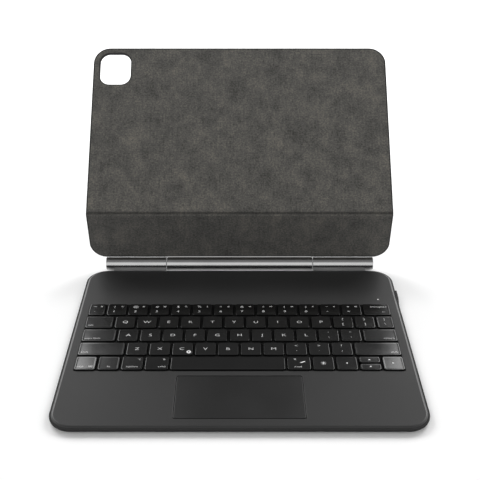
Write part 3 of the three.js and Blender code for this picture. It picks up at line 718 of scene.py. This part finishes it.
def make_status_light():
    bm = bmesh.new()
    centre = (LIGHT_LOW + LIGHT_HIGH) / 2
    outline = around(centre.x, centre.y, *[LIGHT_RADIUS] * 3, steps=6)
    top = LIGHT_HIGH.z
    stacked(bm, outline, [
        (LIGHT_LOW.z, 0), (top - 0.15 * MM, 0), (top - 0.04 * MM, 0.2 * MM), (top, 0.5 * MM)])
    light = make_piece("status_lens", bm, LIT_LENS)
    finish_piece(light, "base", "clear_plastic", "status_light")


def make_port():
    """A charging socket: a thin steel sleeve with rolled lips, and its tongue."""
    half_z = PORT_HEIGHT / 2
    outline = around(PORT_Y, PORT_Z, PORT_LENGTH / 2, half_z, half_z * 0.98, steps=8)
    wall = 0.3 * MM
    profile = [
        (PORT_LOW.x, 0), (PORT_HIGH.x - 0.1 * MM, 0), (PORT_HIGH.x, 0.1 * MM), (PORT_HIGH.x, wall - 0.1 * MM),
        (PORT_HIGH.x - 0.1 * MM, wall), (PORT_LOW.x + 0.8 * MM, wall),
    ]
    bm = bmesh.new()
    set_into_side(bm, outline, profile)
    tongue = around(PORT_Y, PORT_Z, 3.3 * MM, 0.35 * MM, 0.1 * MM, steps=2)
    inner = [(PORT_LOW.x + 0.7 * MM, 0), (PORT_HIGH.x - 1.7 * MM, 0), (PORT_HIGH.x - 1.5 * MM, 0.12 * MM)]
    set_into_side(bm, tongue, inner, 1)
    socket = make_piece("charging_socket", bm, INNER_FINISHES["steel"], KEY_PLASTIC)
    finish_piece(socket, "base", "steel", "charging_receptacle")


def make_slider():
    """The power slider: a ribbed thumb piece on a foot."""
    low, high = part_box("power_slider")
    centre_y = (low.y + high.y) / 2
    bm = bmesh.new()
    outline = rounded_rectangle(
        centre_y - 1.7 * MM, centre_y + 1.7 * MM, high.z - 1.6 * MM, high.z, 0.4 * MM, steps=4)
    foot = rounded_rectangle(low.y, high.y, low.z, high.z, 0.2 * MM, steps=2)
    shoulder = low.x + SLIDER_FOOT
    for ring, levels in (
        (foot, [(low.x, 0), (shoulder, 0)]),
        (outline, [(shoulder - 0.1 * MM, 0), (high.x - 0.35 * MM, 0), (high.x - 0.2 * MM, 0.12 * MM)]),
    ):
        set_into_side(bm, ring, levels)
    for rib in range(5):
        y = centre_y + (rib - 2) * 0.55 * MM
        ridge = rounded_rectangle(
            y - 0.13 * MM, y + 0.13 * MM, high.z - 1.35 * MM, high.z - 0.25 * MM, 0.12 * MM, steps=2)
        set_into_side(bm, ridge, [(high.x - 0.3 * MM, 0), (high.x, 0.04 * MM)])
    finish_piece(make_piece("power_slider_knob", bm, KEY_PLASTIC), "power_slider", "keys", "power_slider")


# ---- Legends ----
def add_polygon(bm, points, low, high):
    """A thin prism over a polygon, in the ink's material."""
    lower = [bm.verts.new((x, y, low)) for x, y in points]
    upper = [bm.verts.new((x, y, high)) for x, y in points]
    add_cap(bm, lower[::-1], 1)
    add_cap(bm, upper, 1)
    for i in range(len(points)):
        following = (i + 1) % len(points)
        bm.faces.new([lower[i], lower[following], upper[following], upper[i]]).material_index = 1


def add_band(bm, outer, inner, low, high):
    """A thin closed ring between two outlines of as many points."""
    count = len(outer)
    loops = [[bm.verts.new((x, y, z)) for x, y in points] for points in (outer, inner) for z in (low, high)]
    outer_low, outer_high, inner_low, inner_high = loops
    for i in range(count):
        j = (i + 1) % count
        for corners in (
            (outer_low[i], outer_low[j], outer_high[j], outer_high[i]),
            (inner_low[j], inner_low[i], inner_high[i], inner_high[j]),
            (outer_high[i], outer_high[j], inner_high[j], inner_high[i]),
            (outer_low[j], outer_low[i], inner_low[i], inner_low[j]),
        ):
            bm.faces.new(corners).material_index = 1


def disc(x, y, radius, sides=16):
    return [
        (x + radius * math.cos(2 * math.pi * i / sides), y + radius * math.sin(2 * math.pi * i / sides))
        for i in range(sides)
    ]


def strip(x0, y0, x1, y1, width):
    """A straight stroke as a rectangle."""
    length = math.hypot(x1 - x0, y1 - y0)
    side_x, side_y = -(y1 - y0) / length * width / 2, (x1 - x0) / length * width / 2
    right = [(x0 - side_x, y0 - side_y), (x1 - side_x, y1 - side_y)]
    left = [(x1 + side_x, y1 + side_y), (x0 + side_x, y0 + side_y)]
    return right + left


def strips(width, *ends):
    return [strip(*end, width) for end in ends]


def spokes(count, inner, outer, width):
    shapes = []
    for i in range(count):
        angle = 2 * math.pi * i / count
        c, s = math.cos(angle), math.sin(angle)
        shapes.append(strip(inner * c, inner * s, outer * c, outer * s, width))
    return shapes


def triangle(x, size, facing=1):
    """A triangle that points right, or left where facing is -1."""
    back, tip = x - facing * size * 0.5, x + facing * size * 0.5
    return [(back, -size * 0.6), (tip, 0), (back, size * 0.6)][::facing]


SPEAKER = [(-0.9, -0.3), (-0.5, -0.3), (0, -0.7), (0, 0.7), (-0.5, 0.3), (-0.9, 0.3)]
# The solid shapes of each sign, which fills about -1 to 1.
SIGNS = {
    "sun_small": spokes(8, 0.75, 1.0, 0.16),
    "sun_large": spokes(8, 0.7, 1.1, 0.2) + [disc(0, 0, 0.45)],
    "windows": strips(
        0.25, (-1, -0.6, -0.2, -0.6), (-1, 0.6, -0.2, 0.6), (0.2, 0.6, 1, 0.6), (0.2, -0.6, 1, -0.6),
        (-1, 0, 1, 0)),
    "magnifier": [strip(0.35, -0.35, 0.95, -0.95, 0.25)],
    "microphone": [
        strip(0, -0.95, 0, -0.6, 0.2), strip(-0.4, -0.95, 0.4, -0.95, 0.18), strip(0, -0.1, 0, 0.8, 0.5)],
    "moon": [],
    "back": [triangle(-0.45, 0.9, -1), triangle(0.45, 0.9, -1)],
    "play_pause": [triangle(-0.5, 0.9)] + strips(0.25, (0.3, -0.55, 0.3, 0.55), (0.8, -0.55, 0.8, 0.55)),
    "forward": [triangle(-0.45, 0.9), triangle(0.45, 0.9)],
    "speaker_off": [SPEAKER],
    "speaker_low": [SPEAKER, strip(0.45, -0.3, 0.45, 0.3, 0.2)],
    "speaker_high": [SPEAKER] + strips(0.2, (0.4, -0.3, 0.4, 0.3), (0.85, -0.6, 0.85, 0.6)),
    "two_bars": strips(0.4, (-0.35, -0.6, -0.35, 0.6), (0.35, -0.6, 0.35, 0.6)),
    "keyboard": strips(
        0.16, (-1, 0.55, 1, 0.55), (-1, -0.55, 1, -0.55), (-1, -0.6, -1, 0.6), (1, -0.6, 1, 0.6))
    + strips(0.2, (-0.6, -0.2, 0.6, -0.2)) + [disc(x, 0.2, 0.13, 8) for x in (-0.6, -0.2, 0.2, 0.6)],
    "branch": strips(
        0.22, (-1, 0.6, -0.35, 0.6), (-0.35, 0.6, 0.35, -0.6), (0.35, -0.6, 1, -0.6), (0.3, 0.6, 1, 0.6)),
    "grid": strips(
        0.18, (-0.35, -0.8, -0.35, 0.8), (0.35, -0.8, 0.35, 0.8), (-0.8, -0.35, 0.8, -0.35),
        (-0.8, 0.35, 0.8, 0.35)),
    "pen": [strip(-0.3, -0.1, 0.9, 0.45, 0.42), [(-0.95, -0.45), (-0.2, -0.32), (-0.42, 0.1)]],
    "badge": [],
    "left": [triangle(0, 1.0, -1)],
    "right": [triangle(0, 1.0)],
    "up": [[(-0.6, -0.45), (0.6, -0.45), (0, 0.55)]],
    "down": [[(-0.6, 0.45), (0, -0.55), (0.6, 0.45)]],
    "long_left": [strip(-0.8, 0, 1.3, 0, 0.2), [(-1.3, 0), (-0.7, -0.4), (-0.7, 0.4)]],
}
# The ring of a sign that has one: its centre, outer radius and width.
SIGN_RINGS = {
    "sun_small": (0, 0, 0.45, 0.16),
    "magnifier": (-0.15, 0.15, 0.65, 0.2),
    "moon": (0, 0, 0.75, 0.3),
    "badge": (0, 0, 0.95, 0.62),
}

LETTER_HEIGHT = 3.0 * MM
DIGIT_HEIGHT = 2.5 * MM
WORD_HEIGHT = 1.75 * MM
SIGN_SIZE = 1.15 * MM
SIDE_MARGIN = 2.3 * MM

NUMBER_SIGNS = [
    "sun_small", "sun_large", "windows", "magnifier", "microphone", "moon",
    "back", "play_pause", "forward", "speaker_off", "speaker_low", "speaker_high",
]


def text(body, across, up, height, align="CENTER"):
    """A part of a legend: its place is across and up from the cap's middle, as shares of its half size."""
    return ("text", body, across, up, height, align)


def sign(name, across, up, size=SIGN_SIZE):
    return ("sign", name, across, up, size, "CENTER")


def stacked_legend(upper, lower, across=0.0):
    return [text(upper, across, 0.5, DIGIT_HEIGHT), text(lower, across, -0.34, DIGIT_HEIGHT)]


def number_legend(upper, lower, icon):
    return stacked_legend(upper, lower, -0.3) + [sign(icon, 0.5, 0.52)]


def letter_legend(letter):
    if letter == "C":
        return [text("C", -0.08, 0.0, LETTER_HEIGHT), sign("badge", 0.62, -0.5, 2.0 * MM)]
    return [text(letter, 0.0, 0.0, LETTER_HEIGHT)]


def word_legend(word, align):
    return [text(word, 0.0, -0.52, WORD_HEIGHT, align)]


LEGENDS = {
    "key_grave": stacked_legend("~", "`", -0.35) + [sign("two_bars", 0.45, 0.52)],
    "keys_number_left": [number_legend(u, l, s) for u, l, s in zip("!@#$%^", "123456", NUMBER_SIGNS[:6])],
    "keys_number_right": [number_legend(u, l, s) for u, l, s in zip("&*()_+", "7890-=", NUMBER_SIGNS[6:])],
    "key_backspace": [text("backspace", 0.0, 0.5, WORD_HEIGHT, "RIGHT"), sign("long_left", 0.5, -0.45)],
    "key_tab": word_legend("tab", "LEFT"),
    "keys_upper_left": [letter_legend(c) for c in "QWERTY"],
    "keys_upper_right": [letter_legend(c) for c in "UIOP"]
    + [stacked_legend("{", "["), stacked_legend("}", "]")],
    "key_backslash": stacked_legend("|", "\\"),
    "key_caps_lock": word_legend("caps lock", "LEFT"),
    "keys_home_left": [letter_legend(c) for c in "ASDFGH"],
    "keys_home_right": [letter_legend(c) for c in "JKL"]
    + [stacked_legend(":", ";"), stacked_legend('"', "'")],
    "key_return": word_legend("return", "RIGHT"),
    "key_shift_left": word_legend("shift", "LEFT"),
    "keys_lower_left": [letter_legend(c) for c in "ZXCVB"],
    "keys_lower_right": [letter_legend(c) for c in "NM"]
    + [stacked_legend("<", ","), stacked_legend(">", "."), stacked_legend("?", "/")],
    "key_shift_right": word_legend("shift", "RIGHT"),
    "key_control": word_legend("ctrl", "LEFT") + [sign("keyboard", 0.52, -0.5, 1.5 * MM)],
    "key_function": word_legend("fn", "CENTER"),
    "key_option": word_legend("option", "CENTER") + [sign("branch", 0.6, 0.55)],
    "key_command_left": word_legend("cmd", "RIGHT") + [sign("grid", 0.6, 0.55)],
    "key_space": [],
    "key_command_right": [
        text("cmd", -0.1, -0.55, WORD_HEIGHT), sign("grid", -0.32, 0.58), sign("pen", 0.3, 0.12, 2.4 * MM)],
    "key_brightness": [sign("sun_large", 0.0, 0.0, 1.9 * MM)],
    **{f"key_arrow_{way}": [sign(way, 0.0, 0.0, 1.5 * MM)] for way in ("left", "up", "down", "right")},
}
LETTER_STRETCH = 1.34
LETTER_THINNING = 0.014  # taken off each side of a stroke, in letters of size 1
INK_DEPTH = 0.03 * MM
SELF_CENTRED = "-_=+~`'\"^*<>,.:;"  # these are centred on themselves, and not as a capital is


def text_mesh(body):
    """A text of size 1 as a mesh."""
    curve = bpy.data.curves.new("legend", "FONT")
    curve.body = body
    curve.resolution_u = 3
    curve.extrude = 0.01
    curve.offset = -LETTER_THINNING
    holder = add_object("legend", curve)
    bpy.context.view_layer.update()
    mesh = bpy.data.meshes.new_from_object(holder.evaluated_get(bpy.context.evaluated_depsgraph_get()))
    bpy.data.objects.remove(holder)
    bpy.data.curves.remove(curve)
    return mesh


def span(mesh, axis):
    values = [v.co[axis] for v in mesh.vertices]
    return min(values), max(values)


CAPITAL_LOW, CAPITAL_HIGH = span(text_mesh("H"), 1)


def add_text(bm, body, x, y, height, align, top):
    """Text whose capitals are centred on y; x is its centre, left or right end."""
    mesh = text_mesh(body)
    left, right = span(mesh, 0)
    scale = height / (CAPITAL_HIGH - CAPITAL_LOW)
    across = scale * LETTER_STRETCH
    anchor = {"LEFT": left, "CENTER": (left + right) / 2, "RIGHT": right}[align]
    middle = (CAPITAL_LOW + CAPITAL_HIGH) / 2
    if body in SELF_CENTRED:
        low, high = span(mesh, 1)
        middle = (low + high) / 2
    made = {}
    for vertex in mesh.vertices:
        made[vertex.index] = bm.verts.new((
            x + (vertex.co.x - anchor) * across, y + (vertex.co.y - middle) * scale,
            top + (INK_DEPTH if vertex.co.z > 0 else -INK_DEPTH),
        ))
    for polygon in mesh.polygons:
        bm.faces.new([made[i] for i in polygon.vertices]).material_index = 1
    bpy.data.meshes.remove(mesh)


def add_sign(bm, name, x, y, size, top):
    low, high = top - INK_DEPTH, top + INK_DEPTH
    for shape in SIGNS[name]:
        add_polygon(bm, [(x + a * size, y + b * size) for a, b in shape], low, high)
    if name in SIGN_RINGS:
        ring_x, ring_y, radius, width = SIGN_RINGS[name]
        outer = [(x + a * size, y + b * size) for a, b in disc(ring_x, ring_y, radius)]
        inner = [(x + a * size, y + b * size) for a, b in disc(ring_x, ring_y, radius - width)]
        add_band(bm, outer, inner, low, high)


# ---- Keys ----
DISH = 0.06 * MM
BARRED_KEYS = (("keys_home_left", 3), ("keys_home_right", 0))
BAR_HALF = 2.0 * MM
BAR_LOW, BAR_HIGH = 2.6 * MM, 3.3 * MM  # above the cap's lower edge


def make_key(name, index, low, high):
    """A cap with a dished top, sides painted near-black as painted shade, and its legend."""
    bm = bmesh.new()
    outline = rounded_rectangle(low.x, high.x, low.y, high.y, KEY_CORNER, steps=6)
    top = high.z
    stacked(bm, outline, [
        (low.z, 0.0), (top - 0.9 * MM, 0.02 * MM), (top - 0.32 * MM, 0.1 * MM), (top - 0.14 * MM, 0.17 * MM),
        (top - 0.04 * MM, 0.3 * MM), (top, 0.55 * MM), (top - DISH * 0.5, 1.3 * MM), (top - DISH, 1.95 * MM),
    ])
    # Painted shade: the cap's steep sides take the near-black material.
    for face in bm.faces:
        face.normal_update()
        face.material_index = 2 if abs(face.normal.z) < KEY_SIDE_NORMAL else 0
    centre_x, centre_y = (low.x + high.x) / 2, (low.y + high.y) / 2
    if (name, index) in BARRED_KEYS:
        bar = rounded_rectangle(
            centre_x - BAR_HALF, centre_x + BAR_HALF, low.y + BAR_LOW, low.y + BAR_HIGH, 0.3 * MM, steps=4)
        stacked(bm, bar, [(top - 0.2 * MM, 0), (top + 0.08 * MM, 0.02 * MM), (top + 0.18 * MM, 0.18 * MM)])
    legend = LEGENDS[name][index] if name.startswith("keys_") else LEGENDS[name]
    half_x, half_y = (high.x - low.x) / 2, (high.y - low.y) / 2
    for kind, what, across, up, size, align in legend:
        x = centre_x + across * half_x
        y = centre_y + up * half_y
        if kind == "text":
            if align == "LEFT":
                x = low.x + SIDE_MARGIN
            elif align == "RIGHT":
                x = high.x - SIDE_MARGIN
            add_text(bm, what, x, y, size, align, top - DISH)
        else:
            add_sign(bm, what, x, y, size, top - DISH)
    label = "cap_" + name.split("_", 1)[1]
    if name.startswith("keys_"):
        label = f"{label}_{index + 1}"
    cap = make_piece(label, bm, KEY_PLASTIC, LEGEND_INK, KEY_GAP_PAINTED_SHADE)
    finish_piece(cap, name, "keys", name)


# ---- Hinge ----
BARREL_SIDES = 72


def turned(bm, profile, centre):
    """A piece turned about a line along X: the profile gives x and radius, left to right."""
    rings = []
    for x, radius in profile:
        ring = []
        for i in range(BARREL_SIDES):
            angle = 2 * math.pi * i / BARREL_SIDES
            ring.append((x, centre.y + radius * math.cos(angle), centre.z + radius * math.sin(angle)))
        rings.append(ring)
    add_solid(bm, rings)


def knuckle_end(x, inward, bore_end):
    """One end of a barrel section, from its hollow (a bore for the shaft or a shallow dish) to its edge."""
    edge = 0.35 * MM
    if bore_end is None:
        hollow = [(x + inward * 0.25 * MM, BARREL_RADIUS * 0.6), (x, BARREL_RADIUS * 0.66)]
    else:
        hollow = [(bore_end, BORE_RADIUS), (x + inward * 0.2 * MM, BORE_RADIUS), (x, BORE_RADIUS + 0.2 * MM)]
    return hollow + [
        (x, BARREL_RADIUS - edge), (x + inward * edge * 0.3, BARREL_RADIUS - edge * 0.3),
        (x + inward * edge, BARREL_RADIUS),
    ]


def make_hinge():
    left_shaft, right_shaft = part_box("friction_shaft_left"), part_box("friction_shaft_right")
    clear = 0.3 * MM
    bores = {
        "left": (None, left_shaft[0].x - clear),
        "middle": (left_shaft[1].x + clear, right_shaft[0].x - clear),
        "right": (right_shaft[1].x + clear, None),
    }
    for label, body in (("left", "base"), ("middle", "lid_lower"), ("right", "base")):
        low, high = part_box(f"hinge_knuckle_{label}")
        bm = bmesh.new()
        left_end = knuckle_end(low.x, 1, bores[label][0])
        right_end = knuckle_end(high.x, -1, bores[label][1])
        turned(bm, left_end + right_end[::-1], HINGE)
        barrel = make_piece(f"barrel_{label}", bm, STEEL)
        finish_piece(barrel, body, "hinge_barrel", f"hinge_knuckle_{label}")
    for label in ("left", "right"):
        low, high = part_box(f"hinge_leaf_{label}")
        bm = bmesh.new()
        outline = rounded_rectangle(low.x, high.x, low.y, HINGE.y, 0.8 * MM, steps=5)
        stacked(bm, outline, [
            (low.z, 0.12 * MM), (low.z + 0.12 * MM, 0), (high.z - 0.25 * MM, 0),
            (high.z - 0.08 * MM, 0.08 * MM), (high.z, 0.25 * MM),
        ])
        leaf = make_piece(f"leaf_{label}", bm, LEAF_METAL)
        finish_piece(leaf, "base", "hinge_leaf", f"hinge_leaf_{label}")


# ---- Lid ----
def lean_frame(lean):
    """The up and back directions, in Y and Z, of a panel that leans back by an angle."""
    return Vector((0, math.sin(lean), math.cos(lean))), Vector((0, math.cos(lean), -math.sin(lean)))


BEND_RADIUS = 2 * BEND_HALF / (STRIP_LEAN + PANEL_LEAN)
TANGENT = BEND_RADIUS * math.tan((STRIP_LEAN + PANEL_LEAN) / 2)
STRIP_UP, STRIP_BACK = lean_frame(-STRIP_LEAN)
PANEL_UP, PANEL_BACK = lean_frame(PANEL_LEAN)
BEND_CENTRE = FOLD - STRIP_UP * TANGENT + STRIP_BACK * BEND_RADIUS


def on_lid(x, along, depth):
    """A point of the flat lid in its place. along is up from the fold line, depth is behind the lining."""
    if along < -BEND_HALF:
        place = FOLD - STRIP_UP * TANGENT + STRIP_UP * (along + BEND_HALF) + STRIP_BACK * depth
    elif along > BEND_HALF:
        place = FOLD + PANEL_UP * TANGENT + PANEL_UP * (along - BEND_HALF) + PANEL_BACK * depth
    else:
        lean = -STRIP_LEAN + (along + BEND_HALF) / (2 * BEND_HALF) * (STRIP_LEAN + PANEL_LEAN)
        back = lean_frame(lean)[1]
        place = BEND_CENTRE + back * (depth - BEND_RADIUS)
    return place + Vector((x, 0, 0))


# Places along the lid that get a row of edges: close together at the fold, wide apart on the panels.
CUT_LINES = [
    *(i * 0.25 * MM for i in range(-20, 21)),
    *(i * 10 * MM for i in range(1, 17)),
    *(-i * 10 * MM for i in range(1, 5)),
]


def lid_outline():
    return rounded_rectangle(-LID_HALF, LID_HALF, -STRIP_HEIGHT, PANEL_HEIGHT, LID_CORNER, steps=24)


def window_outline():
    return around(*WINDOW_CENTRE, WINDOW_SIZE[0] / 2, WINDOW_SIZE[1] / 2, WINDOW_CORNER, steps=14)


def lid_solid(name, profile, window_profile, shape_depth, *materials):
    """A flat solid with a window, bent over the fold.
    Each profile lists (inset, depth), and goes from its back face round to the face it ends on."""
    bm = bmesh.new()
    outer = add_rings(bm, [[(x, y, d) for x, y in drawn_in(lid_outline(), inset)] for inset, d in profile])
    window_rings = [[(x, y, d) for x, y in drawn_in(window_outline(), -grow)] for grow, d in window_profile]
    inner = add_rings(bm, window_rings, inward=True)
    for outer_ring, inner_ring, facing in ((outer[0], inner[0], 1), (outer[-1], inner[-1], -1)):
        edges = []
        for ring in (outer_ring, inner_ring):
            edges += [bm.edges.get((a, b)) for a, b in zip(ring, ring[1:] + ring[:1])]
        bmesh.ops.triangle_fill(bm, use_beauty=True, edges=edges, normal=(0, 0, facing))
    for along in CUT_LINES:
        add_cut(bm, (0, along, 0), (0, 1, 0))
    flat_place = bm.verts.layers.float_vector.new(FLAT_PLACE)
    for vertex in bm.verts:
        x, along, depth = vertex.co
        vertex[flat_place] = (x, along, depth)
        vertex.co = on_lid(x, along, shape_depth(along, depth))
    bmesh.ops.recalc_face_normals(bm, faces=bm.faces)
    return make_piece(name, bm, *materials)


def bump_shape(along, centre, half_width):
    share = min(abs(along - centre) / half_width, 1)
    return 0.5 * (1 + math.cos(math.pi * share))


def cover_depth(along, depth):
    """The cover sinks into the gap between the stiffeners at the fold."""
    if depth < 1 * MM:
        return depth
    return depth - 1.5 * MM * bump_shape(along, 0, 2.6 * MM)


def lining_depth(along, depth):
    """A pressed crease runs just above the fold line, with a soft bead below it."""
    crease = 0.38 * MM * bump_shape(along, 1.0 * MM, 0.8 * MM)
    bead = -0.12 * MM * bump_shape(along, -0.9 * MM, 0.9 * MM)
    return depth + (crease + bead) * (1 - depth / (0.8 * MM))


def scaled_profile(profile):
    return [(inset * MM, depth * MM) for inset, depth in profile]


def make_lid_pieces():
    cover = lid_solid(
        "lid_cover",
        scaled_profile([
            (1.1, 3.5), (0.55, 3.42), (0.2, 3.15), (0.03, 2.75), (0.0, 2.4), (0.0, 0.5), (0.08, 0.2),
            (0.28, 0.03), (0.5, 0.0), (0.75, 0.03), (0.95, 0.2), (1.0, 0.5), (1.0, 2.6)]),
        scaled_profile([
            (0.9, 3.5), (0.4, 3.42), (0.1, 3.15), (0.0, 2.8), (0.0, 0.4), (0.1, 0.12), (0.3, 0.0),
            (0.55, 0.02), (0.75, 0.2), (0.8, 0.5), (0.8, 2.6)]),
        cover_depth, COVER_SKIN)
    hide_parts("lower_cover", "upper_cover", "fold_skin")
    lining = lid_solid(
        "suede_lining",
        scaled_profile([(1.12, 0.8), (1.12, 0.3), (1.2, 0.1), (1.4, 0.02), (1.7, 0.0)]),
        scaled_profile([(0.92, 0.8), (0.92, 0.3), (1.0, 0.1), (1.2, 0.02), (1.5, 0.0)]),
        lining_depth, SUEDE)
    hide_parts("lower_lining", "upper_lining")
    for piece in (cover, lining):
        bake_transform(piece)


def make_lid_leaf():
    """The leaf that grips the strip's lower edge: a lip in front, a web below, a tongue inside."""
    low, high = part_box("hinge_leaf_middle")
    bm = bmesh.new()
    rings = []
    ends = [(low.x, 0.12), (low.x + 0.12 * MM, 0), (high.x - 0.12 * MM, 0), (high.x, 0.12)]
    for x, inset in ends:
        ring = []
        for (depth, up), (in_depth, in_up) in LEAF_SECTION:
            offset = STRIP_BACK * ((FACE_BEHIND_AXIS + depth + in_depth * inset) * MM)
            offset += STRIP_UP * ((up + in_up * inset) * MM)
            ring.append(Vector((x, HINGE.y, HINGE.z)) + offset)
        rings.append(ring)
    add_solid(bm, rings)
    bmesh.ops.recalc_face_normals(bm, faces=bm.faces)
    leaf = make_piece("leaf_middle", bm, LEAF_METAL)
    finish_piece(leaf, "lid_lower", "hinge_leaf", "hinge_leaf_middle")


# ---- Stage ----
def make_stage():
    bm = bmesh.new()
    signs = ((-1, -1), (1, -1), (1, 1), (-1, 1))
    bm.faces.new([bm.verts.new((x * FLOOR_HALF, y * FLOOR_HALF, 0)) for x, y in signs])
    n = Nodes("studio_floor")
    n.greys(n.noise(3), 0.3, 0.7, 0.95, 0.97)
    n.set(Roughness=0.9)
    floor = make_piece("floor", bm, n.material, weighted=False)


def add_area_light(name, place, target, size, radiance):
    """A softbox of the given width, height and brightness."""
    data = bpy.data.lights.new(name, "AREA")
    data.shape = "RECTANGLE"
    data.size, data.size_y = size
    data.energy = radiance * math.pi * size[0] * size[1]
    light = add_object(name, data)
    light.location = place
    light.rotation_euler = (Vector(target) - Vector(place)).to_track_quat("-Z", "Y").to_euler()


def make_world():
    """A white studio with a dim ceiling behind and above the object."""
    world = bpy.data.worlds.new("studio")
    world.use_nodes = True
    tree = world.node_tree
    background = tree.nodes["Background"]
    background.inputs["Color"].default_value = (1, 1, 1, 1)
    direction = tree.nodes.new("ShaderNodeTexCoord")
    aim = tree.nodes.new("ShaderNodeVectorMath")
    aim.operation = "DOT_PRODUCT"
    aim.inputs[1].default_value = (0, math.cos(CEILING_ELEVATION), math.sin(CEILING_ELEVATION))
    tree.links.new(direction.outputs["Generated"], aim.inputs[0])
    level = tree.nodes.new("ShaderNodeMapRange")
    level.interpolation_type = "SMOOTHSTEP"
    level.inputs["From Min"].default_value = math.cos(CEILING_RADIUS + CEILING_FADE)
    level.inputs["From Max"].default_value = math.cos(CEILING_RADIUS - CEILING_FADE)
    level.inputs["To Min"].default_value = WALL_LEVEL
    level.inputs["To Max"].default_value = CEILING_LEVEL
    tree.links.new(aim.outputs["Value"], level.inputs["Value"])
    tree.links.new(level.outputs["Result"], background.inputs["Strength"])
    bpy.context.scene.world = world


def make_lights():
    make_world()
    for side in (-1, 1):
        place = (side * SOFTBOX_PLACE[0], *SOFTBOX_PLACE[1:])
        target = (side * SOFTBOX_AIM, 0, 0)
        add_area_light(f"rear_softbox_{side}", place, target, SOFTBOX_SIZE, SOFTBOX_LEVEL)
    bpy.context.scene.view_settings.view_transform = "Standard"


make_camera()
make_bottom_cover()
make_deck()
make_trackpad()
make_status_light()
make_port()
make_slider()
for key in key_boxes():
    make_key(*key)
make_hinge()
make_lid_leaf()
make_lid_pieces()
slots = {row["node"]: row["material_slot"] for row in frame["record"]["subparts"]}
for node, piece in frame["nodes"].items():
    piece.data.materials.clear()
    piece.data.materials.append(KEY_GAP_PAINTED_SHADE if node in SEEN_BETWEEN_KEYS else INNER_FINISHES[slots[node]])
make_stage()
make_lights()
